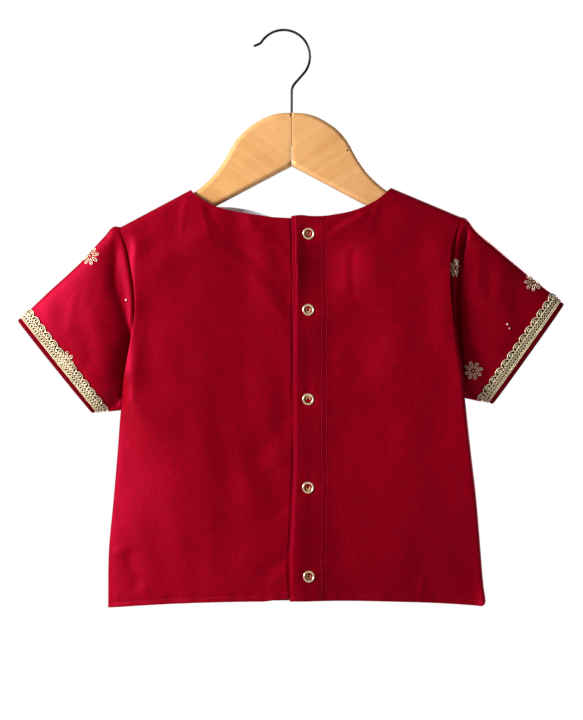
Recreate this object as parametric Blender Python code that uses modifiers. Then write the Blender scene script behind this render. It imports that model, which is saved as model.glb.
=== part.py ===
"""A child's choli, the short blouse of a lehenga choli, on a small wooden hanger.

The open back with its snap placket faces -Y, the front faces +Y, and +Z is up. The origin is the inside
top of the hanger's wire hook, where a rail carries it. The tables are in millimetres, measured from the
hook's stem, and the garment hangs flat: each panel is a thin wall over the outline seen from the back.
"""

import math

import bmesh
import bpy
import numpy as np
from mathutils import Matrix, Vector

MM = 0.001
LEFT, RIGHT = -1, 1
BACK, FRONT = -1, 1

# Cloth
WALL = 1.0
SEAM_GAP = 0.3
HALF_GAP = SEAM_GAP / 2

# Hook wire
WIRE_RADIUS = 1.0
BOW_RADIUS = 21.1
STEM_X = 6.5
BOW_Z = WIRE_RADIUS - BOW_RADIUS
BOW_END_ANGLE = -41.5
TIP_START_ANGLE = 146.0
TIP_TURN = 34.0
TIP_RADIUS = 6.0
TIP_STRAIGHT = 3.2
NECK_BEND_RADIUS = 10.0
STEM_FOOT = -91.0

# Wooden hanger: the top edge of one arm, from the stem outward
WOOD_THICKNESS = 12.0
WOOD_ROUNDING = 4.0
ARM_TOP = (
    # reach, height
    (0.0, -65.5),
    (9.0, -65.9),
    (18.6, -68.3),
    (28.4, -73.4),
    (38.6, -81.2),
    (46.2, -90.6),
    (52.0, -101.0),
    (57.5, -109.6),
    (64.0, -117.6),
    (70.0, -123.3),
    (76.0, -127.9),
    (96.0, -137.8),
)
ARM_END_REACH = 118.0
ARM_END_TOP = -148.6
ARM_DEPTH = 19.0
ARM_END_ROUND = 7.0
NOTCH_PEAK = -108.0
JOINT_GAP = 0.3
STEM_BORE_RADIUS = WIRE_RADIUS + SEAM_GAP
STEM_BORE_FOOT = STEM_FOOT - SEAM_GAP

# Body outline seen from the back: the side seams, and above the underarm the armholes
LEFT_EDGE = (
    # height, reach
    (-156.9, -136.6),
    (-171.6, -131.4),
    (-190.9, -127.4),
    (-210.3, -124.6),
    (-228.7, -124.6),
    (-243.0, -126.9),
    (-257.5, -129.6),
    (-282.8, -134.0),
    (-302.3, -136.6),
    (-335.1, -139.2),
    (-375.1, -142.6),
    (-415.1, -146.2),
    (-459.9, -146.8),
)
RIGHT_EDGE = (
    # height, reach
    (-148.7, 134.7),
    (-155.0, 132.6),
    (-166.3, 128.6),
    (-180.7, 126.2),
    (-201.5, 125.3),
    (-223.1, 127.0),
    (-245.0, 130.6),
    (-269.5, 134.8),
    (-292.5, 137.8),
    (-335.1, 142.6),
    (-375.1, 147.4),
    (-415.1, 151.4),
    (-458.9, 155.4),
)
SHOULDER_Z = {LEFT: -156.9, RIGHT: -148.7}
UNDERARM_Z = {LEFT: -302.3, RIGHT: -292.5}
NECK_POINT = {LEFT: (-80.6, -127.1), RIGHT: (79.4, -125.5)}
HEM_CENTRE_Z = -453.3
HEM_DROP = {LEFT: 7.0, RIGHT: 5.3}
HEM_HALF_WIDTH = 145.0

# Necklines, each over its own panel. The front's rises above the back's on the left.
NECKLINES = {
    "back_left": (
        # x, z
        (-80.6, -127.1),
        (-78.0, -130.4),
        (-73.4, -133.7),
        (-63.0, -140.0),
        (-52.0, -143.6),
        (-41.4, -145.7),
        (-26.6, -147.9),
        (-17.0, -149.4),
        (-3.0, -150.3),
        (26.0, -150.8),
    ),
    "back_right": (
        (-2.0, -149.2),
        (2.0, -148.5),
        (7.0, -148.0),
        (14.0, -148.6),
        (26.2, -148.5),
        (35.8, -147.1),
        (46.6, -145.0),
        (58.6, -140.6),
        (70.6, -133.6),
        (79.4, -125.5),
    ),
    "front": (
        (-80.6, -127.1),
        (-76.0, -133.8),
        (-68.0, -138.4),
        (-59.0, -140.0),
        (-48.6, -140.5),
        (-33.8, -142.9),
        (-19.2, -147.4),
        (0.0, -151.6),
        (20.0, -151.8),
        (40.0, -149.0),
        (60.0, -141.5),
        (73.0, -133.4),
        (79.4, -125.5),
    ),
}
NECK_FLARE = 1.09
NECK_COLUMNS = (
    # distance inside the neck point at the top, and at the hem
    (0.0, 0.0),
    (0.3, 3.0),
    (1.2, 6.0),
    (3.4, 10.0),
    (8.0, 15.0),
)

# How far the cloth stands from the middle plane
SHOULDER_HALF = {BACK: 7.3, FRONT: 8.9}
SHOULDER_ROUND = 5.5
BODY_EXTRA = {BACK: 5.4, FRONT: 4.6}
BODY_EXTRA_FROM = -150.0
BODY_EXTRA_OVER = 130.0
SHOULDER_SWELL = 2.0
SHOULDER_SWELL_OVER = 45.0
SIDE_ROUND = {BACK: 70.0, FRONT: 47.0}
EDGE_ROUND = 80.0
ARMHOLE_HALF = 10.0
UNDERARM_ROUND = 20.0

# Placket: the right back panel laps over the left
LAP_TOP_Z = -148.0
LAP_EDGE_TOP = 0.3
LAP_EDGE_BOTTOM = -2.0
LAP_STITCH = 26.6
LAP_RAISE = 1.3
UNDERLAP_END = 26.0
UNDERLAP_SINK = 3.2
UNDERLAP_RAMP = 13.0
BAND_MARGIN = 0.8
BAND_COLUMNS = 6
BAND_TOP_ROWS = 0.01
UNDERLAP_COLUMNS = (-20.0, -14.0, -10.0, -6.0, -2.0, 4.0, 10.0, 16.0, UNDERLAP_END)
LAP_COLUMNS = (0.0, 5.0, 10.0, 15.0, 21.0, 26.0, 32.0, 38.0)

# Ring snaps
SNAP_X = 13.0
SNAP_HEIGHTS = (-162.6, -224.2, -293.0, -364.5, -434.2)
SNAP_RADIUS = 4.8
SNAP_HOLE = 2.3
SNAP_RISE = 1.5
STUD_RADIUS = 3.4
SNAP_STEPS = 14
STUD_STEPS = 10
STUD_CLEAR = 0.5

# Neck facing, inside the front
FACING_DEPTH = 26.0
FACING_END_GAP = 5.0
FACING_BELOW_EDGE = 0.3

# Soft folds of the back: both ends, half width, and depth into the cloth
BACK_FOLDS = (
    # x0, z0, x1, z1, half width, depth
    (-70.0, -215.0, -69.0, -405.0, 26.0, 2.2),
    (-112.0, -196.0, -106.0, -245.0, 8.0, 1.6),
    (-34.0, -168.0, -11.0, -205.0, 8.0, 1.5),
    (-6.0, -420.0, -24.0, -438.0, 8.0, 1.1),
    (-8.0, -318.0, -30.0, -344.0, 9.0, 1.0),
    (60.0, -230.0, 66.0, -400.0, 24.0, 1.4),
    (-130.0, -418.0, -122.0, -440.0, 5.0, 1.2),
)
LAP_FOLDS = (
    (11.0, -178.0, 11.5, -198.0, 6.0, 1.5),
    (12.0, -238.0, 12.0, -280.0, 7.0, 1.2),
    (13.0, -308.0, 14.0, -350.0, 7.0, 1.0),
    (14.0, -378.0, 15.0, -420.0, 7.0, 1.2),
)
FRONT_FOLDS = (
    (-60.0, -220.0, -66.0, -410.0, 24.0, 2.0),
    (48.0, -210.0, 54.0, -400.0, 26.0, 2.2),
    (108.0, -200.0, 100.0, -250.0, 9.0, 1.5),
    (-106.0, -205.0, -100.0, -255.0, 9.0, 1.4),
    (0.0, -300.0, -4.0, -430.0, 18.0, 1.2),
)
FOLD_FADE = 18.0
FOLD_CLEAR_OF_ARM = 24.0

# Sleeves: the top outline, shoulder to cuff, and the cuff's lower end
SLEEVE_TOP = {
    LEFT: (
        # x, z
        (-136.9, -156.7),
        (-141.5, -156.3),
        (-148.9, -163.6),
        (-157.4, -172.8),
        (-166.0, -182.4),
        (-179.4, -195.1),
        (-191.8, -206.2),
        (-208.9, -222.4),
        (-218.6, -231.8),
    ),
    RIGHT: (
        (135.0, -148.6),
        (138.6, -149.7),
        (147.3, -159.6),
        (165.0, -174.6),
        (187.4, -193.6),
        (202.1, -205.3),
        (211.4, -212.6),
        (217.3, -218.7),
    ),
}
CUFF_BOTTOM = {LEFT: (-159.9, -304.7), RIGHT: (161.0, -297.5)}
CUFF_HALF = 8.5
CUFF_ROUND = 20.0
SLEEVE_PUFF = {BACK: 3.0, FRONT: 3.8}
TUCK_DEPTH = {BACK: 6.5, FRONT: 3.0}
TUCK_DISTANCE = (
    # share of the way down the armhole, distance of the tuck's floor from it
    (0.0, 14.0),
    (0.36, 12.0),
    (0.68, 5.6),
    (1.0, 5.0),
)
TUCK_FLAT = 1.0
TUCK_RISE = 20.0
TUCK_FROM = 0.08
TUCK_FULL = 0.42

# Rows and rings: shares of the way from a sleeve's top fold to its lower fold, and of its length
TOP_FOLD_SHARES = (0.0, 0.0006, 0.004, 0.022, 0.06)
LOW_FOLD_SHARES = (0.0, 0.004, 0.022, 0.06)
LONG_SHARES = 8
ROWS_BELOW_ARM = 7
RING_SHARES = (0.0, 0.02, 0.05, 0.09, 0.14, 0.21, 0.31, 0.45, 0.62, 0.8, 1.0)

# Cuff trim, measured from the cuff's edge
TRIM_ZONE = 15.0
BINDING_WIDTH = 2.6
BINDING_THICKNESS = 1.4
BINDING_PROUD = 0.4
LACE_FROM = 3.3
LACE_VALLEY = 11.4
LACE_PEAK = 13.8
LACE_THICKNESS = 0.9
LACE_CLEAR = 0.55
SCALLOPS_AROUND = 24
POINTS_PER_SCALLOP = 4
LACE_POINT_GAP = 0.004

COLOURS = {
    "red_cloth": ((0.36, 0.004, 0.022), 0.55, 0.0),
    "dark_red_binding": ((0.16, 0.002, 0.012), 0.6, 0.0),
    "grey_lining": ((0.34, 0.38, 0.44), 0.85, 0.0),
    "gold_lace": ((0.72, 0.58, 0.30), 0.42, 0.35),
    "gold_snap": ((0.83, 0.66, 0.36), 0.25, 1.0),
    "beech_wood": ((0.80, 0.50, 0.22), 0.4, 0.0),
    "steel_wire": ((0.09, 0.09, 0.10), 0.25, 1.0),
}


def smooth(rows):
    """A smooth curve through (position, value) rows, as a function of position."""
    at, value = np.array(sorted(rows), float).T
    slope = np.gradient(value, at)

    def read(position):
        position = np.clip(position, at[0], at[-1])
        i = np.clip(np.searchsorted(at, position) - 1, 0, len(at) - 2)
        gap = at[i + 1] - at[i]
        t = (position - at[i]) / gap
        rise = value[i + 1] - value[i]
        ends = t * t * (3 - 2 * t) * rise
        bends = t * (1 - t) * ((1 - t) * slope[i] - t * slope[i + 1]) * gap
        return value[i] + ends + bends

    return read


def cap(q, power=2.0):
    """The rounded rise of a superellipse, from 0 at q = 0 to 1 at q = 1."""
    return (1 - (1 - np.clip(q, 0, 1)) ** power) ** (1 / power)


def step(t):
    """A soft step from 0 to 1."""
    t = np.clip(t, 0, 1)
    return t * t * (3 - 2 * t)


def mix(a, b, t):
    return a + (b - a) * t


edge_x = {LEFT: smooth(LEFT_EDGE), RIGHT: smooth(RIGHT_EDGE)}
neck_z = {panel: smooth(rows) for panel, rows in NECKLINES.items()}
tuck_distance = smooth(TUCK_DISTANCE)


def shoulder_z(x):
    """Height of the shoulder line over x, carried on past the neck."""
    heights = []
    for side in (LEFT, RIGHT):
        neck_x, neck_z = NECK_POINT[side]
        end_x = edge_x[side](SHOULDER_Z[side])
        slope = (SHOULDER_Z[side] - neck_z) / (end_x - neck_x)
        heights.append(neck_z + slope * (x - neck_x))
    return np.where(x < 0, heights[0], heights[1])


def top_z(x, panel):
    """Height of a panel's upper edge: shoulder seam outside the neck points, neckline between them."""
    inside = (x > NECK_POINT[LEFT][0]) & (x < NECK_POINT[RIGHT][0])
    return np.where(inside, neck_z[panel](x), shoulder_z(x))


def hem_z(x):
    drop = np.where(x < 0, HEM_DROP[LEFT], HEM_DROP[RIGHT])
    return HEM_CENTRE_Z - drop * np.abs(x / HEM_HALF_WIDTH) ** 2.2


def body_half(x, z, face):
    """How far the body stands from the middle plane, away from its side edges."""
    below = shoulder_z(x) - z
    swell = SHOULDER_SWELL * cap(below / SHOULDER_SWELL_OVER)
    extra = BODY_EXTRA[face] * step((BODY_EXTRA_FROM - z) / BODY_EXTRA_OVER)
    return SHOULDER_HALF[face] * cap(below / SHOULDER_ROUND, 3) + swell + extra


def armhole_share(z, side, face):
    """How open the side edge is at height z: 0 from the underarm down, 1 over most of the armhole."""
    z = np.minimum(z, SHOULDER_Z[side] - SHOULDER_ROUND)
    open_half = ARMHOLE_HALF * cap((z - UNDERARM_Z[side]) / UNDERARM_ROUND)
    return np.clip(open_half / body_half(edge_x[side](z), z, face), 0, 1)


def armhole_half(z, side, face):
    """Half the depth of the armhole at height z."""
    return body_half(edge_x[side](z), z, face) * armhole_share(z, side, face)


def half_depth(x, z, face):
    """How far the body's outer face stands from the middle plane, rounded off at the side edges."""
    depth = body_half(x, z, face)
    for side in (LEFT, RIGHT):
        inward = side * (edge_x[side](z) - x)
        at_edge = armhole_share(z, side, face)
        round_off = cap(inward / SIDE_ROUND[face]) ** 2
        depth = depth * np.sqrt(at_edge**2 + (1 - at_edge**2) * round_off)
    return depth


def fold_depth(x, z, folds):
    """Depth of all the soft folds at a point."""
    total = np.zeros(np.broadcast(x, z).shape)
    for x0, z0, x1, z1, half_width, depth in folds:
        run_x, run_z = x1 - x0, z1 - z0
        along = ((x - x0) * run_x + (z - z0) * run_z) / (run_x**2 + run_z**2)
        along = np.clip(along, 0, 1)
        off = np.hypot(x - x0 - along * run_x, z - z0 - along * run_z)
        total = total + depth * np.exp(-((off / half_width) ** 2))
    return total


def lap_edge(z):
    """Where the fold of the overlapping placket lies at height z."""
    share = (z - HEM_CENTRE_Z) / (LAP_TOP_Z - HEM_CENTRE_Z)
    return mix(LAP_EDGE_BOTTOM, LAP_EDGE_TOP, share)


def body_y(x, z, face, layer="plain"):
    """The outer face of the body. layer says which side of the placket's overlap it belongs to."""
    folds = FRONT_FOLDS if face == FRONT else BACK_FOLDS
    depth = half_depth(x, z, face)
    fade = step((shoulder_z(x) - z - FOLD_CLEAR_OF_ARM) / FOLD_FADE)
    for side in (LEFT, RIGHT):
        fade = fade * step(side * (edge_x[side](z) - x) / FOLD_FADE)
    sunk = fold_depth(x, z, folds)
    if layer == "over":
        sunk = sunk * step((x - LAP_STITCH) / UNDERLAP_RAMP) + fold_depth(x, z, LAP_FOLDS)
        depth = depth + LAP_RAISE * (1 - step((x - LAP_STITCH + 4) / 9))
    if layer == "under":
        ramp = step((x - lap_edge(z) + UNDERLAP_RAMP) / UNDERLAP_RAMP)
        sunk = sunk * (1 - ramp) + fold_depth(x, z, LAP_FOLDS) * ramp
        depth = depth - UNDERLAP_SINK * ramp
    return face * (depth - sunk * fade + HALF_GAP)


def sleeve_top(side, v):
    """The point of the sleeve's top outline at share v of its length."""
    rows = np.array(SLEEVE_TOP[side])
    along = np.concatenate([[0], np.cumsum(np.hypot(*np.diff(rows, axis=0).T))])
    share = along / along[-1]
    x = smooth(tuple(zip(share, rows[:, 0])))
    z = smooth(tuple(zip(share, rows[:, 1])))
    return x(v), z(v)


def armhole(side, w):
    """The point of the armhole at share w of the way from shoulder to underarm."""
    z = mix(SHOULDER_Z[side], UNDERARM_Z[side], w)
    return edge_x[side](z) + side * SEAM_GAP, z


def cuff(side, w):
    """The point of the cuff's edge at share w of the way down it."""
    top = SLEEVE_TOP[side][-1]
    bottom = CUFF_BOTTOM[side]
    return mix(top[0], bottom[0], w), mix(top[1], bottom[1], w)


def sleeve_length(side, w):
    """Length of the sleeve from armhole to cuff at share w."""
    (ax, az), (cx, cz) = armhole(side, w), cuff(side, w)
    return np.hypot(cx - ax, cz - az)


def sleeve_point(side, v, w, face):
    """The outer face of a sleeve: v runs from armhole to cuff, w from its top fold to its lower fold."""
    v, w = np.broadcast_arrays(np.asarray(v, float), np.asarray(w, float))
    (ax, az), (cx, cz), (tx, tz) = armhole(side, w), cuff(side, w), sleeve_top(side, v)
    first, last = armhole(side, 0.0), armhole(side, 1.0)
    top_end, low_end = cuff(side, 0.0), cuff(side, 1.0)
    bx, bz = mix(last[0], low_end[0], v), mix(last[1], low_end[1], v)
    corners_x = mix(mix(first[0], last[0], w), mix(top_end[0], low_end[0], w), v)
    corners_z = mix(mix(first[1], last[1], w), mix(top_end[1], low_end[1], w), v)
    x = mix(ax, cx, v) + mix(tx, bx, w) - corners_x
    z = mix(az, cz, v) + mix(tz, bz, w) - corners_z
    z_arm = mix(SHOULDER_Z[side], UNDERARM_Z[side], w)
    at_arm = armhole_half(z_arm, side, face)
    width = math.hypot(top_end[0] - low_end[0], top_end[1] - low_end[1])
    at_cuff = CUFF_HALF * cap(w * width / CUFF_ROUND) * cap((1 - w) * width / CUFF_ROUND)
    puff = SLEEVE_PUFF[face] * np.sin(math.pi * v) * np.sin(math.pi * w)
    distance = v * sleeve_length(side, w)
    floor_at = tuck_distance(w)
    going_down = step((distance - TUCK_FLAT) / (floor_at - TUCK_FLAT))
    coming_up = np.exp(-((np.maximum(distance - floor_at, 0) / TUCK_RISE) ** 2))
    span = step((w - TUCK_FROM) / (TUCK_FULL - TUCK_FROM)) * cap((1 - w) * width / 16)
    tuck = TUCK_DEPTH[face] * np.where(distance < floor_at, going_down, coming_up) * span
    y = face * (mix(at_arm, at_cuff, step(v)) + puff - tuck * step((1 - v) / 0.3))
    return np.stack([x, y, z], axis=-1)


def material(name):
    colour, roughness, metallic = COLOURS[name]
    made = bpy.data.materials.get(name) or bpy.data.materials.new(name)
    made.use_nodes = True
    shader = made.node_tree.nodes["Principled BSDF"]
    shader.inputs["Base Color"].default_value = (*colour, 1.0)
    shader.inputs["Roughness"].default_value = roughness
    shader.inputs["Metallic"].default_value = metallic
    return made


def add_object(name, data, finish):
    """Puts a piece in the garment's collection, hung from the stem's empty."""
    piece = bpy.data.objects.new(name, data)
    data.materials.append(material(finish))
    parts.objects.link(piece)
    piece.parent = stem
    return piece


def grid_mesh(name, points, closed=False, flip=False):
    """A mesh over a grid of points, rows by columns; closed joins the last column to the first."""
    rows, columns = points.shape[:2]
    last = columns if closed else columns - 1
    faces = []
    for r in range(rows - 1):
        for c in range(last):
            d = (c + 1) % columns
            quad = (r * columns + c, r * columns + d, (r + 1) * columns + d, (r + 1) * columns + c)
            faces.append(quad[::-1] if flip else quad)
    mesh = bpy.data.meshes.new(name)
    mesh.from_pydata((points.reshape(-1, 3) * MM).tolist(), [], faces)
    mesh.shade_smooth()
    return mesh


def cloth(name, points, finish, closed=False, flip=False, wall=WALL):
    """A cloth piece: the outer face, thickened inward into a wall."""
    piece = add_object(name, grid_mesh(name, points, closed, flip), finish)
    solid = piece.modifiers.new("wall", "SOLIDIFY")
    solid.thickness = wall * MM
    solid.offset = -1
    return piece


def moved_out(points, distance, closed=False, flip=False):
    """The grid moved along its own outward normals."""
    mesh = grid_mesh("scratch", points, closed, flip)
    normals = np.array([v.normal for v in mesh.vertices]).reshape(points.shape)
    bpy.data.meshes.remove(mesh)
    return points + normals * distance


def shares(count):
    return np.linspace(0, 1, count)


def edge_offsets():
    """Distances of the columns next to a side edge, close together where the cloth turns round it."""
    angles = np.radians([0, 3, 16, 31, 46, 61])
    return EDGE_ROUND * (1 - np.cos(angles))


def around():
    """Shares of the way from a sleeve's top fold to its lower fold, close together at both folds."""
    first, last = np.array(TOP_FOLD_SHARES), 1 - np.array(LOW_FOLD_SHARES)[::-1]
    long = np.linspace(first[-1], last[0], LONG_SHARES)
    return np.concatenate([first[:-1], long, last[1:]])


def hem_corner(side):
    """The hem's corner at a side edge."""
    x = float(edge_x[side](hem_z(HEM_HALF_WIDTH * side)))
    return x, float(hem_z(x))


def row_shares(side):
    """Shares of a side edge's height, from hem to shoulder. Its rows meet the sleeve's at the armhole."""
    hem = hem_corner(side)[1]
    lower = np.linspace(hem, UNDERARM_Z[side], ROWS_BELOW_ARM + 1)[:-1]
    upper = mix(SHOULDER_Z[side], UNDERARM_Z[side], around())[::-1]
    return (np.concatenate([lower, upper]) - hem) / (SHOULDER_Z[side] - hem)


def panel_grid(columns, panel, left_x, right_x, left_rows, right_rows):
    """Points (x, z) of a panel over columns of (hem x, top x), between two edges and their row shares."""
    hem_x, top_x = columns[:, 0], columns[:, 1]
    u = ((hem_x - hem_x[0]) / (hem_x[-1] - hem_x[0]))[None, :]
    v = mix(left_rows[:, None], right_rows[:, None], u)
    z = mix(hem_z(hem_x)[None, :], top_z(top_x, panel)[None, :], v)
    straight = mix(hem_x[None, :], top_x[None, :], v)
    x = straight + (1 - u) * (left_x(z[:, :1]) - straight[:, :1])
    x = x + u * (right_x(z[:, -1:]) - straight[:, -1:])
    return x, z


def side_columns(side):
    """Columns (hem x, top x) from a side edge to just inside the neck point, in that order."""
    hem_edge = hem_corner(side)[0]
    top_edge = float(edge_x[side](SHOULDER_Z[side]))
    near = [(hem_edge - side * s, top_edge - side * s) for s in edge_offsets()]
    at_neck = NECK_POINT[side][0]
    inside = [(at_neck * NECK_FLARE - side * low, at_neck - side * top) for top, low in NECK_COLUMNS]
    return near + inside


def join_columns(first, last, count):
    """Evenly spaced columns strictly between two."""
    return [tuple(mix(np.array(first), np.array(last), t)) for t in shares(count + 2)[1:-1]]


def make_front():
    left, right = side_columns(LEFT), side_columns(RIGHT)[::-1]
    columns = np.array(left + join_columns(left[-1], right[0], 7) + right)
    rows = row_shares(LEFT), row_shares(RIGHT)
    x, z = panel_grid(columns, "front", edge_x[LEFT], edge_x[RIGHT], *rows)
    cloth("front", np.stack([x, body_y(x, z, FRONT), z], axis=-1), "red_cloth", flip=True)


def make_back_left():
    left = side_columns(LEFT)
    ramp = [(x, x) for x in UNDERLAP_COLUMNS]
    columns = np.array(left + join_columns(left[-1], ramp[0], 3) + ramp)
    rows = row_shares(LEFT)
    x, z = panel_grid(columns, "back_left", edge_x[LEFT], lambda z: UNDERLAP_END, rows, rows)
    cloth("back_left", np.stack([x, body_y(x, z, BACK, "under"), z], axis=-1), "red_cloth")


def make_back_right():
    """The right back panel, and the band turned in along its lapping edge."""
    placket = [(LAP_EDGE_BOTTOM + across, LAP_EDGE_TOP + across) for across in LAP_COLUMNS]
    right = side_columns(RIGHT)[::-1]
    columns = np.array(placket + join_columns(placket[-1], right[0], 3) + right)
    rows = row_shares(RIGHT)
    x, z = panel_grid(columns, "back_right", lap_edge, edge_x[RIGHT], rows, rows)
    points = np.stack([x, body_y(x, z, BACK, "over"), z], axis=-1)
    cloth("back_right", points, "red_cloth")
    band = moved_out(points, -WALL - SEAM_GAP)[:, : BAND_COLUMNS]
    band = band[[r for r in range(len(rows)) if not 0 < 1 - rows[r] < BAND_TOP_ROWS]]
    band[:, 0, 0] += BAND_MARGIN
    band[0, :, 2] += BAND_MARGIN
    band[-1, :, 2] -= BAND_MARGIN
    cloth("overlap_band", band, "red_cloth")


def make_neck_facing():
    """The lining along the inside of the front neckline, from shoulder seam to shoulder seam."""
    ends = NECK_POINT[LEFT][0] + FACING_END_GAP, NECK_POINT[RIGHT][0] - FACING_END_GAP
    across = mix(ends[0], ends[1], shares(19))[None, :]
    down = FACING_DEPTH * shares(4)[:, None]
    x = across * (1 + 0.08 * down / FACING_DEPTH)
    z = neck_z["front"](across) - FACING_BELOW_EDGE - down
    y = body_y(x, z, FRONT) - WALL - SEAM_GAP
    cloth("neck_facing", np.stack([x, y, z], axis=-1)[::-1], "grey_lining", flip=True)


def sleeve_shares(side):
    """The sleeve's rings, from armhole to cuff, for each share around it. The last lies under the trim."""
    w = around()[None, :]
    length = sleeve_length(side, w)
    upper = np.array(RING_SHARES)[:, None] * (1 - TRIM_ZONE / length)
    return np.concatenate([upper, 1 - (BINDING_WIDTH + SEAM_GAP) / length]), w


def ring(side, v, w, between=None):
    """A closed band of a sleeve's outer points: down the back face, then up the front face.

    between gives other shares, whose points lie straight between those at w.
    """
    halves = [sleeve_point(side, v, w, face) for face in (BACK, FRONT)]
    if between is not None:
        for i, points in enumerate(halves):
            lines = [[np.interp(between, w[0], row[:, axis]) for axis in range(3)] for row in points]
            halves[i] = np.swapaxes(np.array(lines), 1, 2)
    back, front = halves
    return np.concatenate([back, front[:, -2:0:-1]], axis=1)


def make_sleeve(side, name):
    """A sleeve, with the binding that finishes its cuff and the gold lace sewn round above it."""
    v, w = sleeve_shares(side)
    flip = side == LEFT
    cloth(f"sleeve_{name}", ring(side, v, w), "red_cloth", True, flip)
    length = sleeve_length(side, w)
    edge = ring(side, 1 - BINDING_WIDTH * np.array([[1.0], [0.0]]) / length, w)
    edge = moved_out(edge, BINDING_PROUD, True, flip)
    cloth(f"cuff_binding_{name}", edge, "dark_red_binding", True, flip, BINDING_THICKNESS)

    # The lace's points lie on the sleeve's last band, whose corners it shares, straight below and
    # scalloped above.
    scallops = SCALLOPS_AROUND // 2
    even = shares(scallops * POINTS_PER_SCALLOP + 1)
    apart = np.min(np.abs(even[:, None] - w), axis=1) > LACE_POINT_GAP
    along = np.sort(np.concatenate([even[apart], w[0]]))
    bow = LACE_VALLEY + (LACE_PEAK - LACE_VALLEY) * np.abs(np.sin(math.pi * scallops * along)) ** 0.7
    heights = np.stack([bow, np.full_like(bow, LACE_FROM)])
    lower = ring(side, 1 - (BINDING_WIDTH + SEAM_GAP) / length, w, along)
    upper = ring(side, 1 - TRIM_ZONE / length, w, along)
    heights = np.concatenate([heights, heights[:, -2:0:-1]], axis=1)[..., None]
    reach = (heights - BINDING_WIDTH - SEAM_GAP) / (TRIM_ZONE - BINDING_WIDTH - SEAM_GAP)
    lace = moved_out(mix(lower, upper, reach), LACE_CLEAR + LACE_THICKNESS, True, flip)
    cloth(f"cuff_lace_{name}", lace, "gold_lace", True, flip, LACE_THICKNESS)


def turned(name, profile, finish, steps):
    """A round piece about its local Z, from a profile of (radius, height) that runs down its outer side."""
    mesh = bpy.data.meshes.new(name)
    points = [(r * MM, 0, h * MM) for r, h in profile]
    closed = profile[0][0] > 0
    edges = [(i, (i + 1) % len(points)) for i in range(len(points) if closed else len(points) - 1)]
    mesh.from_pydata(points, edges, [])
    piece = add_object(name, mesh, finish)
    screw = piece.modifiers.new("turn", "SCREW")
    screw.steps = steps
    screw.render_steps = steps
    screw.use_merge_vertices = True
    screw.merge_threshold = 0.00001
    screw.use_smooth_shade = True
    return piece


def placket_seat(z, layer, depth):
    """The place and outward direction of a snap piece, depth in from the outer face of a layer."""
    def point(x, height):
        y = body_y(np.array(x), np.array(height), BACK, layer)
        return Vector((x, float(y), height))

    reach = STUD_RADIUS
    across = point(SNAP_X + reach, z) - point(SNAP_X - reach, z)
    up = point(SNAP_X, z + reach) - point(SNAP_X, z - reach)
    outward = across.cross(up).normalized()
    return point(SNAP_X, z) - outward * depth, outward


def seat(piece, place, outward):
    piece.location = place * MM
    piece.rotation_mode = "QUATERNION"
    piece.rotation_quaternion = outward.to_track_quat("Z", "Y")


def make_snap(number, z):
    """A ring snap: the ring cap outside the overlap, and the stud that holds the two layers."""
    rim = (SNAP_RADIUS + SNAP_HOLE) / 2
    cap_profile = (
        (rim, SNAP_RISE),
        (SNAP_RADIUS - 0.5, SNAP_RISE * 0.82),
        (SNAP_RADIUS, SNAP_RISE * 0.35),
        (SNAP_RADIUS - 0.2, 0.0),
        (SNAP_HOLE + 0.2, 0.0),
        (SNAP_HOLE, SNAP_RISE * 0.4),
        (SNAP_HOLE + 0.5, SNAP_RISE * 0.85),
    )
    ring_cap = turned(f"snap_cap_{number}", cap_profile, "gold_snap", SNAP_STEPS)
    seat(ring_cap, *placket_seat(z, "over", -SEAM_GAP - 0.12))
    inner, outward = placket_seat(z, "over", 2 * WALL + SEAM_GAP + STUD_CLEAR)
    outer, _ = placket_seat(z, "under", -STUD_CLEAR)
    height = (inner - outer).dot(outward)
    stud_profile = (
        (0.0, height),
        (STUD_RADIUS, height),
        (STUD_RADIUS, height * 0.6),
        (STUD_RADIUS - 0.7, height * 0.4),
        (STUD_RADIUS - 0.7, 0.0),
        (0.0, 0.0),
    )
    stud = turned(f"snap_stud_{number}", stud_profile, "gold_snap", STUD_STEPS)
    seat(stud, inner - outward * height, outward)


def arc(centre, radius, start, end, count):
    """Points (x, z) along an arc, angles in degrees."""
    angles = np.radians(np.linspace(start, end, count))
    return [(centre[0] + radius * math.cos(a), centre[1] + radius * math.sin(a)) for a in angles]


def hook_path():
    """The hook's centreline, from the foot of its stem up, round the bow and out to the tip."""
    bow = (-STEM_X, BOW_Z)
    leave = arc(bow, BOW_RADIUS, BOW_END_ANGLE, BOW_END_ANGLE, 1)[0]
    run = math.radians(BOW_END_ANGLE)
    direction = (math.sin(run), -math.cos(run))
    meet_z = leave[1] - leave[0] / direction[0] * direction[1]
    tangent = NECK_BEND_RADIUS * math.tan(math.radians(-BOW_END_ANGLE) / 2)
    bend = arc((NECK_BEND_RADIUS, meet_z - tangent), NECK_BEND_RADIUS, 180, 180 + BOW_END_ANGLE, 6)
    around_bow = arc(bow, BOW_RADIUS, BOW_END_ANGLE, TIP_START_ANGLE, 26)
    turn = math.radians(TIP_START_ANGLE)
    out = (math.cos(turn), math.sin(turn))
    last = around_bow[-1]
    centre = (last[0] + out[0] * TIP_RADIUS, last[1] + out[1] * TIP_RADIUS)
    start = TIP_START_ANGLE - 180
    tip = arc(centre, TIP_RADIUS, start, start - TIP_TURN, 6)
    leaving = math.radians(start - TIP_TURN)
    tip_end = (
        tip[-1][0] + TIP_STRAIGHT * math.sin(leaving),
        tip[-1][1] - TIP_STRAIGHT * math.cos(leaving),
    )
    return [(0.0, STEM_FOOT), (0.0, -70.0)] + bend + around_bow + tip[1:] + [tip_end]


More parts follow.
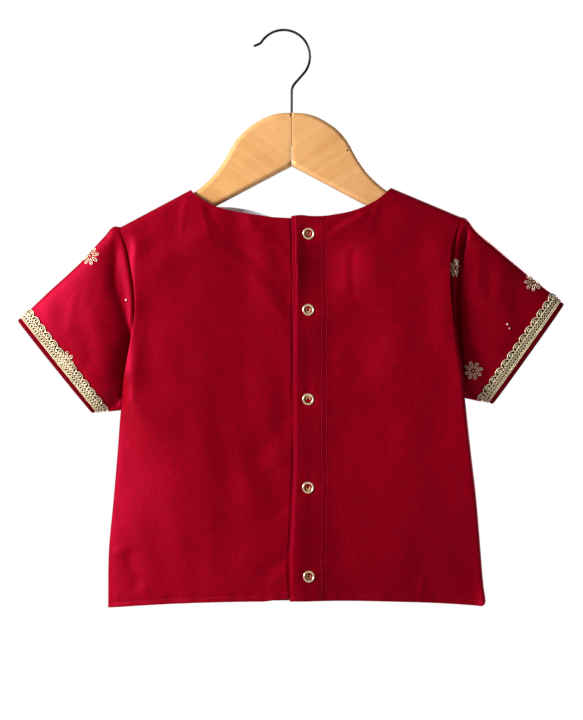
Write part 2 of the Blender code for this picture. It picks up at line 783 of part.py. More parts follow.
def make_hook():
    curve = bpy.data.curves.new("hook", "CURVE")
    curve.dimensions = "3D"
    curve.bevel_depth = WIRE_RADIUS * MM
    curve.bevel_resolution = 2
    curve.use_fill_caps = True
    spline = curve.splines.new("POLY")
    path = hook_path()
    spline.points.add(len(path) - 1)
    for point, (x, z) in zip(spline.points, path):
        point.co = (x * MM, 0, z * MM, 1)
    add_object("hook", curve, "steel_wire")


def arm_outline():
    """The outline of one hanger arm, from the joint's top round to the joint's foot."""
    top = smooth(ARM_TOP + ((ARM_END_REACH - ARM_END_ROUND, ARM_END_TOP + 3.4),))
    reach = np.concatenate([[0, 9], np.linspace(18, 76, 10), [96, ARM_END_REACH - ARM_END_ROUND]])
    outline = [(x, float(top(x))) for x in reach]
    slope = (ARM_END_TOP + 3.4 - ARM_TOP[-2][1]) / (ARM_END_REACH - ARM_END_ROUND - ARM_TOP[-2][0])
    middle = (ARM_END_REACH - ARM_DEPTH / 2, outline[-1][1] - ARM_DEPTH / 2)
    tilt = math.degrees(math.atan(slope))
    outline += arc(middle, ARM_DEPTH / 2, 70 + tilt, -90 + tilt, 7)
    outline.append((0.0, NOTCH_PEAK))
    return outline


def make_bore_cutter():
    bpy.ops.mesh.primitive_cylinder_add(vertices=16, radius=STEM_BORE_RADIUS * MM, depth=60 * MM)
    cutter = bpy.context.object
    cutter.name = "stem_bore"
    cutter.location = (0, 0, (STEM_BORE_FOOT + 30) * MM)
    cutter.parent = stem
    for owner in list(cutter.users_collection):
        owner.objects.unlink(cutter)
    cutters.objects.link(cutter)
    cutter.hide_render = True
    cutter.display_type = "WIRE"
    return cutter


def make_arm(side, name, cutter):
    """One wooden arm: a flat outline with rounded edges, bored at the joint for the hook's stem."""
    shape = bmesh.new()
    outline = [(side * (x + JOINT_GAP / 2), z) for x, z in arm_outline()]
    half = WOOD_THICKNESS / 2
    ring_points = [shape.verts.new((x * MM, -half * MM, z * MM)) for x, z in outline]
    face = shape.faces.new(ring_points)
    extruded = bmesh.ops.extrude_face_region(shape, geom=[face])
    moved = [v for v in extruded["geom"] if isinstance(v, bmesh.types.BMVert)]
    bmesh.ops.translate(shape, verts=moved, vec=(0, WOOD_THICKNESS * MM, 0))
    bmesh.ops.recalc_face_normals(shape, faces=shape.faces)
    at_joint = (JOINT_GAP / 2 + 0.01) * MM
    rim = [
        e
        for e in shape.edges
        if abs(e.verts[0].co.y - e.verts[1].co.y) < 1e-6
        and not all(abs(v.co.x) < at_joint for v in e.verts)
    ]
    bmesh.ops.bevel(shape, geom=rim, offset=WOOD_ROUNDING * MM, segments=3, profile=0.5, affect="EDGES")
    mesh = bpy.data.meshes.new(name)
    shape.to_mesh(mesh)
    shape.free()
    mesh.shade_smooth()
    mesh.set_sharp_from_angle(angle=math.radians(40))
    piece = add_object(name, mesh, "beech_wood")
    cut = piece.modifiers.new("stem bore", "BOOLEAN")
    cut.object = cutter
    cut.operation = "DIFFERENCE"
    cut.solver = "EXACT"


def clear_scene():
    for old in list(bpy.data.objects):
        bpy.data.objects.remove(old)


clear_scene()
parts = bpy.data.collections.new("choli_on_hanger")
cutters = bpy.data.collections.new("cutters")
bpy.context.scene.collection.children.link(parts)
bpy.context.scene.collection.children.link(cutters)
stem = bpy.data.objects.new("hook_stem_axis", None)
stem.matrix_world = Matrix.Translation((STEM_X * MM, 0, 0))
parts.objects.link(stem)

make_front()
make_back_left()
make_back_right()
make_neck_facing()
for which, word in ((LEFT, "left"), (RIGHT, "right")):
    make_sleeve(which, word)
for index, snap_z in enumerate(SNAP_HEIGHTS, 1):
    make_snap(index, snap_z)
make_hook()
bore = make_bore_cutter()
for which, word in ((LEFT, "left"), (RIGHT, "right")):
    make_arm(which, f"hanger_arm_{word}", bore)
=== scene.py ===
import math

import bmesh
import bpy
import numpy as np
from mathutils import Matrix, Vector


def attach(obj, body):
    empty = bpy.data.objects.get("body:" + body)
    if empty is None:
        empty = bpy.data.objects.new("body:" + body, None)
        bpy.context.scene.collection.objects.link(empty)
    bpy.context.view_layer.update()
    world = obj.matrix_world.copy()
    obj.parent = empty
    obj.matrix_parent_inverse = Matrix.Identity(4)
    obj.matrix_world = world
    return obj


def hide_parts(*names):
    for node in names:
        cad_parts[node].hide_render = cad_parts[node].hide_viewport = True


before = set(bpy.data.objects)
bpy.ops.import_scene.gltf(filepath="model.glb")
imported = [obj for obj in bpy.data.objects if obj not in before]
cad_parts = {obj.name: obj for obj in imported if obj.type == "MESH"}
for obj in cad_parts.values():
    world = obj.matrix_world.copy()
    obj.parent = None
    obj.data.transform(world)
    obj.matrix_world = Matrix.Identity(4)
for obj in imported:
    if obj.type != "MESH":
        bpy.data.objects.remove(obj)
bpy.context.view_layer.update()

# The wire hook
# One length of spring steel two millimetres thick, dark plated, with a painted highlight that makes the top
# of its bow lighter and smoother in patches.
# Its straight stem is pressed down into the joint of the two wooden arms.

MM = 0.001
STEM_X = 6.5
WIRE_RADIUS = 1.0
BOW_RADIUS = 21.1
BOW_CENTRE = (-STEM_X, WIRE_RADIUS - BOW_RADIUS)
BOW_END_ANGLE = -41.5
TIP_START_ANGLE = 146.0
TIP_TURN = 34.0
TIP_RADIUS = 6.0
TIP_STRAIGHT = 3.2
NECK_BEND_RADIUS = 10.0
STEM_FOOT = -91.0
WIRE_SIDES = 20


def unit(vectors):
    return vectors / np.maximum(np.linalg.norm(vectors, axis=-1, keepdims=True), 1e-9)


def strand(path, radius, up, sides=8, closed=False):
    """A round strand along a path, as (points, faces). up is the outward direction at each point."""
    path = np.asarray(path, float)
    count = len(path)
    radius = np.broadcast_to(radius, count)[:, None, None]
    ahead = np.roll(path, -1, 0) - np.roll(path, 1, 0) if closed else np.gradient(path, axis=0)
    ahead = unit(ahead)
    across = unit(np.cross(ahead, np.broadcast_to(up, path.shape)))
    out = np.cross(across, ahead)
    angles = np.linspace(0, 2 * math.pi, sides, endpoint=False)[None, :, None]
    points = path[:, None] + radius * (np.cos(angles) * across[:, None] + np.sin(angles) * out[:, None])
    at = np.arange(count if closed else count - 1)[:, None] * sides
    k = np.arange(sides)[None, :]
    after, turn = (at + sides) % (count * sides), (k + 1) % sides
    faces = np.stack([at + k, after + k, after + turn, at + turn], axis=-1).reshape(-1, 4).tolist()
    if not closed:
        faces += [list(range(sides)), list(range(count * sides - 1, (count - 1) * sides - 1, -1))]
    return points.reshape(-1, 3), faces


def add_piece(name, chunks, finish):
    """A piece of the visual model from chunks of (points in garment millimetres, faces)."""
    points, faces, start = [], [], 0
    for chunk_points, chunk_faces in chunks:
        points.append(chunk_points)
        faces += [[i + start for i in face] for face in chunk_faces]
        start += len(chunk_points)
    mesh = bpy.data.meshes.new(name)
    mesh.from_pydata(((np.concatenate(points) + (STEM_X, 0, 0)) * MM).tolist(), [], faces)
    mesh.shade_smooth()
    mesh.materials.append(finish)
    piece = bpy.data.objects.new(name, mesh)
    bpy.context.scene.collection.objects.link(piece)
    return piece


class Socket:
    """The output of a shader node. Arithmetic on it adds Math nodes."""

    def __init__(self, finish, port):
        self.finish, self.port = finish, port

    def math(self, operation, *values):
        return self.finish.node("ShaderNodeMath", {"operation": operation}, dict(enumerate(values)))

    def __add__(self, other):
        return self.math("ADD", self, other)

    def __sub__(self, other):
        return self.math("SUBTRACT", self, other)

    def __rsub__(self, other):
        return self.math("SUBTRACT", other, self)

    def __mul__(self, other):
        return self.math("MULTIPLY", self, other)

    __radd__, __rmul__ = __add__, __mul__

    def sine(self):
        return self.math("SINE", self)

    def between(self, low, high):
        """0 below low, 1 above high, and a soft step from one to the other."""
        inputs = {"Value": self, "From Min": low, "From Max": high}
        return self.finish.node("ShaderNodeMapRange", {"interpolation_type": "SMOOTHSTEP"}, inputs)


class Finish:
    """A material in the making, on one Principled shader."""

    def __init__(self, name, **constants):
        self.material = bpy.data.materials.new(name)
        self.material.use_nodes = True
        self.tree = self.material.node_tree
        self.shader = self.tree.nodes["Principled BSDF"]
        for socket, value in constants.items():
            self.shader.inputs[socket.replace("_", " ")].default_value = value
        self.place = self.node("ShaderNodeTexCoord", output="Object")

    def node(self, kind, settings=None, inputs=None, output=0):
        """Adds a node: its settings first, then the values or links of its sockets."""
        made = self.tree.nodes.new(kind)
        for name, value in (settings or {}).items():
            setattr(made, name, value)
        for key, value in (inputs or {}).items():
            self.feed(made.inputs[key], value)
        return Socket(self, made.outputs[output])

    def feed(self, port, value):
        if isinstance(value, Socket):
            self.tree.links.new(value.port, port)
        elif isinstance(value, tuple) and len(port.default_value) == 4:
            port.default_value = (*value, 1.0)[:4]
        else:
            port.default_value = value

    def leaning(self, degrees):
        """The place on the object, turned so that a grain runs at a lean."""
        inputs = {"Vector": self.place, "Angle": math.radians(degrees)}
        return self.node("ShaderNodeVectorRotate", {"rotation_type": "Y_AXIS"}, inputs)

    def noise(self, cells, detail=2.0, roughness=0.5, place=None):
        """Noise with so many cells to a metre along x, y and z."""
        inputs = {0: place or self.place, 1: cells}
        stretched = self.node("ShaderNodeVectorMath", {"operation": "MULTIPLY"}, inputs)
        inputs = {"Vector": stretched, "Scale": 1.0, "Detail": detail, "Roughness": roughness}
        return self.node("ShaderNodeTexNoise", None, inputs)

    def tint(self, factor, first, second):
        return self.node("ShaderNodeMix", {"data_type": "RGBA"}, {0: factor, 6: first, 7: second}, 2)

    def done(self, bump=None, depth=0.0, **varying):
        """Feeds the shader what varies, and a bump whose height is depth millimetres at 1."""
        for socket, value in varying.items():
            self.feed(self.shader.inputs[socket.replace("_", " ")], value)
        if bump is not None:
            inputs = {"Strength": 1.0, "Distance": depth * MM, "Height": bump}
            self.feed(self.shader.inputs["Normal"], self.node("ShaderNodeBump", None, inputs))
        return self.material


def arc(centre, radius, start, end, count):
    """Points (x, z) along an arc, angles in degrees."""
    angles = np.radians(np.linspace(start, end, count))
    return np.stack([centre[0] + radius * np.cos(angles), centre[1] + radius * np.sin(angles)], axis=-1)


def hook_path():
    """The wire's middle line: up the stem, round the bow and out along the turned-up tip."""
    bow = arc(BOW_CENTRE, BOW_RADIUS, BOW_END_ANGLE, TIP_START_ANGLE, 90)
    lean = math.radians(BOW_END_ANGLE)
    meet_z = bow[0, 1] + bow[0, 0] / math.sin(lean) * math.cos(lean)
    tangent = NECK_BEND_RADIUS * math.tan(-lean / 2)
    bend = arc((NECK_BEND_RADIUS, meet_z - tangent), NECK_BEND_RADIUS, 180, 180 + BOW_END_ANGLE, 16)
    turn = math.radians(TIP_START_ANGLE)
    centre = bow[-1] + TIP_RADIUS * np.array([math.cos(turn), math.sin(turn)])
    start = TIP_START_ANGLE - 180
    tip = arc(centre, TIP_RADIUS, start, start - TIP_TURN, 12)
    leaving = math.radians(start - TIP_TURN)
    end = tip[-1] + TIP_STRAIGHT * np.array([math.sin(leaving), -math.cos(leaving)])
    stem = np.stack([np.zeros(12), np.linspace(STEM_FOOT, bend[0, 1], 13)[:-1]], axis=-1)
    neck = np.linspace(bend[-1], bow[0], 8)[1:-1]
    return np.concatenate([stem, bend, neck, bow, tip[1:], np.linspace(tip[-1], end, 5)[1:]])


def rounded_ends(path, radius):
    """A path with three short steps added at each end, and radii that round its ends off."""
    first, last = unit(path[0] - path[1]), unit(path[-1] - path[-2])
    reach = radius * np.array([0.5, 0.85, 1.0])
    radii = radius * np.array([0.87, 0.53, 0.1])
    path = np.concatenate([(path[0] + first * reach[:, None])[::-1], path, path[-1] + last * reach[:, None]])
    return path, np.concatenate([radii[::-1], np.full(len(path) - 6, radius), radii])


wire = Finish("dark_plated_steel", Metallic=0.9, Specular_IOR_Level=0.5)
drawn = wire.noise((1800, 1800, 60), 2.0)
height = wire.node("ShaderNodeSeparateXYZ", None, {0: wire.place}, "Z")
# Painted highlight: patches at the top of the bow are made lighter in colour and smoother.
painted_top_highlight = height.between(-0.012, -0.001) * wire.noise((500, 500, 500), 3.0).between(0.4, 0.62)
wire_colour = wire.tint(painted_top_highlight, (0.02, 0.02, 0.023), (0.085, 0.08, 0.078))
steel = wire.done(drawn, 0.006, Base_Color=wire_colour, Roughness=0.3 + 0.15 * drawn - 0.08 * painted_top_highlight)

line, radii = rounded_ends(hook_path(), WIRE_RADIUS)
path = np.stack([line[:, 0], np.zeros(len(line)), line[:, 1]], axis=-1)
hook = add_piece("wire_hook", [strand(path, radii, (0.0, 1.0, 0.0), WIRE_SIDES)], steel)
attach(hook, "root")
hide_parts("hook")

# The wooden hanger
# Two arms sawn from honey-coloured beech, their edges rounded over, glued on a joint that runs down from the
# hook and given a thin coat of varnish. A dark pin head shows on the right arm.

JOINT_GAP = 0.3
WOOD_THICKNESS = 12.0
WOOD_ROUNDING = 4.0
ARM_TOP = (
    # reach from the stem, height
    (0.0, -65.5), (9.0, -65.9), (18.6, -68.3), (28.4, -73.4), (38.6, -81.2), (46.2, -90.6),
    (52.0, -101.0), (57.5, -109.6), (64.0, -117.6), (70.0, -123.3), (76.0, -127.9), (96.0, -137.8),
    (111.0, -145.2),
)
ARM_END_REACH = 118.0
ARM_DEPTH = 19.0
ARM_TILT = -25.5
NOTCH_PEAK = -108.0
PIN = (44.2, -95.9)
PIN_SHAPE = ((0.75, 0.0), (0.7125, 0.15), (0.525, 0.315), (0.15, 0.375))
PIN_SUNK = 0.05


def smooth(rows):
    """A smooth curve through (position, value) rows, as a function of position."""
    at, value = np.array(sorted(rows), float).T
    slope = np.gradient(value, at)

    def read(position):
        position = np.clip(position, at[0], at[-1])
        i = np.clip(np.searchsorted(at, position) - 1, 0, len(at) - 2)
        gap = at[i + 1] - at[i]
        t = (position - at[i]) / gap
        rise = value[i + 1] - value[i]
        bend = t * (1 - t) * ((1 - t) * slope[i] - t * slope[i + 1]) * gap
        return value[i] + t * t * (3 - 2 * t) * rise + bend

    return read


def arm_outline():
    """One arm's outline (reach, height), from the joint's top round its end to the joint's foot."""
    reach = np.linspace(0, ARM_TOP[-1][0], 64)
    top = np.stack([reach, smooth(ARM_TOP)(reach)], axis=-1)
    middle = (ARM_END_REACH - ARM_DEPTH / 2, top[-1, 1] - ARM_DEPTH / 2)
    end = arc(middle, ARM_DEPTH / 2, 70 + ARM_TILT, -90 + ARM_TILT, 22)
    under = np.linspace(end[-1], (0.0, NOTCH_PEAK), 40)[1:]
    return np.concatenate([top, end, under])


def arm_mesh(side):
    """An arm as (points, faces): its outline given thickness, with every edge but the joint's rounded."""
    shape = bmesh.new()
    outline = arm_outline()
    corners = [shape.verts.new((side * (x + JOINT_GAP / 2), -WOOD_THICKNESS / 2, z)) for x, z in outline]
    extruded = bmesh.ops.extrude_face_region(shape, geom=[shape.faces.new(corners)])
    moved = [v for v in extruded["geom"] if isinstance(v, bmesh.types.BMVert)]
    bmesh.ops.translate(shape, verts=moved, vec=(0, WOOD_THICKNESS, 0))
    bmesh.ops.recalc_face_normals(shape, faces=shape.faces)
    rim = [
        e
        for e in shape.edges
        if abs(e.verts[0].co.y - e.verts[1].co.y) < 0.001
        and not all(abs(v.co.x) < JOINT_GAP / 2 + 0.01 for v in e.verts)
    ]
    bmesh.ops.bevel(shape, geom=rim, offset=WOOD_ROUNDING, segments=6, profile=0.5, affect="EDGES")
    shape.verts.index_update()
    made = np.array([v.co for v in shape.verts]), [[v.index for v in f.verts] for f in shape.faces]
    shape.free()
    return made


def turned(profile, steps, place, outward, ends="capped"):
    """A round part as (points, faces): its profile (radius, height) turned about the line outward from place.

    Its two ends are capped, joined to each other in a ring, or left open.
    """
    outward = unit(np.asarray(outward, float))
    across = unit(np.cross((0.0, 0.0, 1.0), outward))
    upright = np.cross(outward, across)
    angles = np.linspace(0, 2 * math.pi, steps, endpoint=False)
    spokes = np.cos(angles)[:, None] * across + np.sin(angles)[:, None] * upright
    rings = [place + outward * height + spokes * radius for radius, height in profile]
    faces = []
    for r in range(len(rings) if ends == "joined" else len(rings) - 1):
        after = (r + 1) % len(rings)
        for c in range(steps):
            d = (c + 1) % steps
            faces.append([r * steps + c, r * steps + d, after * steps + d, after * steps + c])
    if ends == "capped":
        faces.append(list(range(steps))[::-1])
        faces.append(list(range((len(rings) - 1) * steps, len(rings) * steps)))
    return np.concatenate(rings), faces


def beech(name, lean):
    """Varnished beech whose grain runs down the arm at a lean, in degrees."""
    wood = Finish(name, Coat_Roughness=0.16, Coat_IOR=1.45, Coat_Weight=0.35, Specular_IOR_Level=0.4)
    along = wood.leaning(lean)
    figure = wood.noise((9, 60, 150), 4.0, 0.55, place=along)
    pores = wood.noise((130, 900, 2600), 2.0, place=along).between(0.60, 0.74)
    flecks = wood.noise((330, 1600, 1900), 1.0, place=along).between(0.66, 0.78)
    patch = wood.noise((26, 26, 30), 2.0).between(0.46, 0.7)
    colour = wood.tint(figure.between(0.32, 0.7), (0.81, 0.425, 0.165), (0.74, 0.365, 0.125))
    colour = wood.tint(patch * 0.5, colour, (0.60, 0.27, 0.07))
    colour = wood.tint(pores * 0.25 + flecks * 0.2, colour, (0.45, 0.2, 0.06))
    roughness = 0.34 + 0.16 * figure + 0.12 * pores
    return wood.done(figure * 0.5 - pores, 0.08, Base_Color=colour, Roughness=roughness)


for side, word, lean in ((-1, "left", -33), (1, "right", 33)):
    arm = add_piece(f"wood_arm_{word}", [arm_mesh(side)], beech(f"varnished_beech_{word}", lean))
    arm.modifiers.new("flat faces", "WEIGHTED_NORMAL").weight = 100
    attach(arm, "root")
    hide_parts(f"hanger_arm_{word}")

pin_at = (PIN[0], PIN_SUNK - WOOD_THICKNESS / 2, PIN[1])
pin = add_piece("arm_pin", [turned(PIN_SHAPE, 24, pin_at, (0, -1, 0))], steel)
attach(pin, "root")

# The front panel
# One piece of crimson silk blend, cut wide at the hem, seen here only from behind and inside. It is turned
# under and stitched along its hem, and seamed to the back panels at the shoulders and sides.

LEFT, RIGHT = -1, 1
BACK, FRONT = -1, 1
WALL = 1.0
SEAM_GAP = 0.3
LEFT_EDGE = (
    # height, reach of the side seam and, above the underarm, the armhole
    (-156.9, -136.6), (-171.6, -131.4), (-190.9, -127.4), (-210.3, -124.6), (-228.7, -124.6),
    (-243.0, -126.9), (-257.5, -129.6), (-282.8, -134.0), (-302.3, -136.6), (-335.1, -139.2),
    (-375.1, -142.6), (-415.1, -146.2), (-459.9, -146.8),
)
RIGHT_EDGE = (
    (-148.7, 134.7), (-155.0, 132.6), (-166.3, 128.6), (-180.7, 126.2), (-201.5, 125.3),
    (-223.1, 127.0), (-245.0, 130.6), (-269.5, 134.8), (-292.5, 137.8), (-335.1, 142.6),
    (-375.1, 147.4), (-415.1, 151.4), (-458.9, 155.4),
)
SHOULDER_Z = {LEFT: -156.9, RIGHT: -148.7}
UNDERARM_Z = {LEFT: -302.3, RIGHT: -292.5}
NECK_POINT = {LEFT: (-80.6, -127.1), RIGHT: (79.4, -125.5)}
HEM_CENTRE_Z = -453.3
HEM_DROP = {LEFT: 7.0, RIGHT: 5.3}
HEM_HALF_WIDTH = 145.0
NECKLINES = {
    "back_left": (
        # x, height
        (-80.6, -127.1), (-78.0, -130.4), (-73.4, -133.7), (-63.0, -140.0), (-52.0, -143.6),
        (-41.4, -145.7), (-26.6, -147.9), (-17.0, -149.4), (-3.0, -150.3), (26.0, -150.8),
    ),
    "back_right": (
        (-2.0, -149.2), (2.0, -148.5), (7.0, -148.0), (14.0, -148.6), (26.2, -148.5),
        (35.8, -147.1), (46.6, -145.0), (58.6, -140.6), (70.6, -133.6), (79.4, -125.5),
    ),
    "front": (
        (-80.6, -127.1), (-76.0, -133.8), (-68.0, -138.4), (-59.0, -140.0), (-48.6, -140.5),
        (-33.8, -142.9), (-19.2, -147.4), (0.0, -151.6), (20.0, -151.8), (40.0, -149.0),
        (60.0, -141.5), (73.0, -133.4), (79.4, -125.5),
    ),
}
SHOULDER_HALF = {BACK: 7.3, FRONT: 8.9}
SHOULDER_ROUND = 5.5
BODY_EXTRA = {BACK: 5.4, FRONT: 4.6}
BODY_EXTRA_FROM = -150.0
BODY_EXTRA_OVER = 130.0
SHOULDER_SWELL = 2.6
SHOULDER_SWELL_OVER = 38.0
SIDE_ROUND = {
    # under the arm, at the hem
    BACK: {LEFT: (9.0, 82.0), RIGHT: (3.0, 3.0)},
    FRONT: {LEFT: (50.0, 50.0), RIGHT: (50.0, 50.0)},
}
SIDE_POWER = {LEFT: 1.5, RIGHT: 2.2}
ROUND_FROM, ROUND_OVER = -292.0, 62.0
ARMHOLE_HALF = {BACK: 13.0, FRONT: 10.0}
UNDERARM_OVER = 30.0
FOLD_FADE = 18.0
FOLD_CLEAR_OF_ARM = 24.0
RELIEF_CLEAR, RELIEF_FADE, RELIEF_EDGE = 2, 8, 7
FRONT_FOLDS = (
    # x0, z0, x1, z1, half width, depth
    (-60.0, -220.0, -66.0, -410.0, 24.0, 2.0),
    (48.0, -210.0, 54.0, -400.0, 26.0, 2.2),
    (108.0, -200.0, 100.0, -250.0, 9.0, 1.5),
    (-106.0, -205.0, -100.0, -255.0, 9.0, 1.4),
    (0.0, -300.0, -4.0, -430.0, 18.0, 1.2),
)
FRONT_CREASES = (
    # half width, rise, then the crease's points (x, z)
    (4.0, -0.9, (-114, -164), (-119, -190), (-119, -231)),
    (4.0, -0.9, (114, -160), (118, -190), (118, -231)),
    (3.0, 0.6, (-60, -150), (-30, -172)),
    (3.0, 0.6, (62, -150), (34, -170)),
    (2.6, 0.7, (100, -430), (98, -447)),
)
HEM_STITCH = 3.6
GROOVE_DEPTH, GROOVE_HALF = 0.4, 1.1
HEM_PUCKER, HEM_PUCKER_OVER = 0.16, 6
STITCH_LENGTH = 2.1
STITCH_GAP = 0.8
STITCH_RADIUS = 0.24
STITCH_AT = (0, 0.12, 0.5, 0.88, 1)
STITCH_LIFT = (-0.35, 0.0, 0.12, 0.0, -0.35)
WEAVE_PITCH = 0.00062
MESH_STEP = 2.0
HEM_ROWS = 12
HEM_ROWS_OVER, HEM_ROW_GAP = 9, 0.9
SIDE_ROWS = 70
EDGE_COLUMNS = 25
SLEEVE_AROUND = 101.0
TURN_OVER = 8.0
EDGE_COLUMNS_OVER = 40.0
NECK_COLUMNS = 9
NECK_LEAN = 1.09
NECK_REACH_HEM, NECK_REACH_TOP = 15, 8
FRONT_HEM_SAG = 3.6
CORNER_CURL = 4.2
CURL_REACH, CURL_HEIGHT = 10, 24
CORNER_LIFT = 4.5
CORNER_REACH, CORNER_HEIGHT = 5, 16
HEM_SWING = {LEFT: 6.0, RIGHT: -12.0}
SWING_FROM, SWING_OVER = -355, 95
# x where each begins or ends, and over what width
SWING_GROWS, SWING_ENDS, SWING_IN = (-96, 88), (46, 44), (26, 125)
FRONT_FOLLOWS = 70.0


def cap(q, power=2.0):
    """The rounded rise of a superellipse, from 0 at q = 0 to 1 at q = 1."""
    return (1 - (1 - np.clip(q, 0, 1)) ** power) ** (1 / power)


def step(t):
    t = np.clip(t, 0, 1)
    return t * t * (3 - 2 * t)


def mix(a, b, t):
    return a + (b - a) * t


edge_x = {LEFT: smooth(LEFT_EDGE), RIGHT: smooth(RIGHT_EDGE)}
neck_z = {panel: smooth(rows) for panel, rows in NECKLINES.items()}


def shoulder_z(x):
    """Height of the shoulder line over x, carried on past the neck."""
    heights = []
    for side in (LEFT, RIGHT):
        at_x, at_z = NECK_POINT[side]
        slope = (SHOULDER_Z[side] - at_z) / (edge_x[side](SHOULDER_Z[side]) - at_x)
        heights.append(at_z + slope * (x - at_x))
    return np.where(x < 0, heights[0], heights[1])


def top_z(x, panel):
    """Height of a panel's upper edge: shoulder seam outside the neck points, neckline between them."""
    inside = (x > NECK_POINT[LEFT][0]) & (x < NECK_POINT[RIGHT][0])
    return np.where(inside, neck_z[panel](x), shoulder_z(x))


def hem_z(x):
    drop = np.where(x < 0, HEM_DROP[LEFT], HEM_DROP[RIGHT])
    return HEM_CENTRE_Z - drop * np.abs(x / HEM_HALF_WIDTH) ** 2.2


def body_half(x, z, face):
    """How far the body stands from the middle plane, away from its side edges."""
    below = shoulder_z(x) - z
    extra = BODY_EXTRA[face] * step((BODY_EXTRA_FROM - z) / BODY_EXTRA_OVER)
    swell = SHOULDER_SWELL * cap(below / SHOULDER_SWELL_OVER)
    return SHOULDER_HALF[face] * cap(below / SHOULDER_ROUND, 3) + swell + extra


def armhole_share(z, side, face):
    """How open the side edge is: 0 from the underarm down, 1 over most of the armhole."""
    z = np.minimum(z, SHOULDER_Z[side] - SHOULDER_ROUND)
    open_half = ARMHOLE_HALF[face] * step((z - UNDERARM_Z[side]) / UNDERARM_OVER)
    return np.clip(open_half / body_half(edge_x[side](z), z, face), 0, 1)


def half_depth(x, z, face):
    """How far the body's outer face stands from the middle plane, rounded off at the side edges."""
    depth = body_half(x, z, face)
    for side in (LEFT, RIGHT):
        inward = side * (edge_x[side](z) - x)
        at_edge = armhole_share(z, side, face)
        rounding = mix(*SIDE_ROUND[face][side], step((ROUND_FROM - z) / ROUND_OVER))
        depth = depth * np.sqrt(at_edge**2 + (1 - at_edge**2) * cap(inward / rounding, SIDE_POWER[side]) ** 2)
    return depth


def off_line(x, z, start, end):
    """Distance from the line between two points."""
    run_x, run_z = end[0] - start[0], end[1] - start[1]
    along = np.clip(((x - start[0]) * run_x + (z - start[1]) * run_z) / (run_x**2 + run_z**2), 0, 1)
    return np.hypot(x - start[0] - along * run_x, z - start[1] - along * run_z)


def fold_depth(x, z, folds):
    """Depth of all the broad soft folds at a point."""
    total = np.zeros(np.broadcast(x, z).shape)
    for x0, z0, x1, z1, half_width, depth in folds:
        total = total + depth * np.exp(-((off_line(x, z, (x0, z0), (x1, z1)) / half_width) ** 2))
    return total


def crease_rise(x, z, creases):
    """Rise of all the narrow creases at a point, sharper along their line than a broad fold."""
    total = np.zeros(np.broadcast(x, z).shape)
    for half_width, rise, *line in creases:
        off = np.min([off_line(x, z, a, b) for a, b in zip(line, line[1:])], axis=0)
        total = total + rise * (1 + (off / half_width) ** 2) ** -1.5
    return total


def rumple(x, z, seed, size, depth, upright=0.6):
    """The faint unevenness of cloth that has been folded and worn, in streaks more or less upright."""
    dice = np.random.default_rng(seed)
    total = np.zeros(np.broadcast(x, z).shape)
    for _ in range(10):
        angle = dice.normal(0, 1 - upright)
        length = size * dice.uniform(0.6, 1.8)
        across = x * math.cos(angle) + z * math.sin(angle)
        down = z * math.cos(angle) - x * math.sin(angle)
        bend = dice.uniform(0.5, 1.4) * np.sin(down / length * dice.uniform(0.6, 1.4) + dice.uniform(0, 6.3))
        total = total + np.sin(2 * math.pi * across / length + bend + dice.uniform(0, 6.3))
    return depth * total / math.sqrt(5)


def seam_pucker(x, z, seed):
    """Small puckers that a row of stitches draws into the cloth above the hem."""
    above = z - hem_z(x) - HEM_STITCH
    ripple = np.sin(x / 2.3 + 2 * np.sin(x / 17 + seed)) + 0.7 * np.sin(x / 4.1 + seed)
    groove = GROOVE_DEPTH * np.exp(-((above / GROOVE_HALF) ** 2))
    return HEM_PUCKER * ripple * np.exp(-((above / HEM_PUCKER_OVER) ** 2)) - groove


def body_y(x, z, face, relief=0.0, folds=FRONT_FOLDS, sunk=0.0, raised=0.0, keep=1.0):
    """The outer face of the body: its broad form, less its folds, plus its fine relief."""
    fade = step((shoulder_z(x) - z - FOLD_CLEAR_OF_ARM) / FOLD_FADE)
    near = step((shoulder_z(x) - z - RELIEF_CLEAR) / RELIEF_FADE)
    for side in (LEFT, RIGHT):
        inward = side * (edge_x[side](z) - x)
        fade, near = fade * step(inward / FOLD_FADE), near * step(inward / RELIEF_EDGE)
    depth = half_depth(x, z, face) + raised - (fold_depth(x, z, folds) * keep + sunk) * fade
    return face * (depth + relief * near + SEAM_GAP / 2)


def corner_curl(x, z):
    """How much of the right hem corner's curl a point takes: 1 at the corner, 0 away from it."""
    return step(1 - (edge_x[RIGHT](z) - x) / CURL_REACH) * step(1 - (z - hem_z(x)) / CURL_HEIGHT)


def hem_swing(x, z):
    """How far the hem swings out toward the back, most of all left of the placket, and in on the right."""
    grows, turns_in = (step((x - at) / over) for at, over in (SWING_GROWS, SWING_IN))
    end, over = SWING_ENDS
    left = HEM_SWING[LEFT] * (0.2 + 0.8 * grows) * step((end - x) / over)
    right = HEM_SWING[RIGHT] * turns_in
    return (left + right) * step((SWING_FROM - z) / SWING_OVER)


def beside_seam(x, z):
    """1 at the side seams, falling to 0 inside them, so that the front hangs with the back there."""
    return 1 - step(np.minimum(x - edge_x[LEFT](z), edge_x[RIGHT](z) - x) / FRONT_FOLLOWS)


def rounded_corner(x, z):
    """Heights of a panel with its right hem corner rounded off."""
    near = np.clip(1 - (edge_x[RIGHT](z) - x) / CORNER_REACH, 0, 1) ** 2
    return z + CORNER_LIFT * near * step(1 - (z - hem_z(x)) / CORNER_HEIGHT)


def grid_normals(points, closed=False, flip=False):
    """Outward directions of a grid of points, rows by columns."""
    across = np.roll(points, -1, 1) - np.roll(points, 1, 1) if closed else np.gradient(points, axis=1)
    normals = unit(np.cross(across, np.gradient(points, axis=0)))
    return -normals if flip else normals


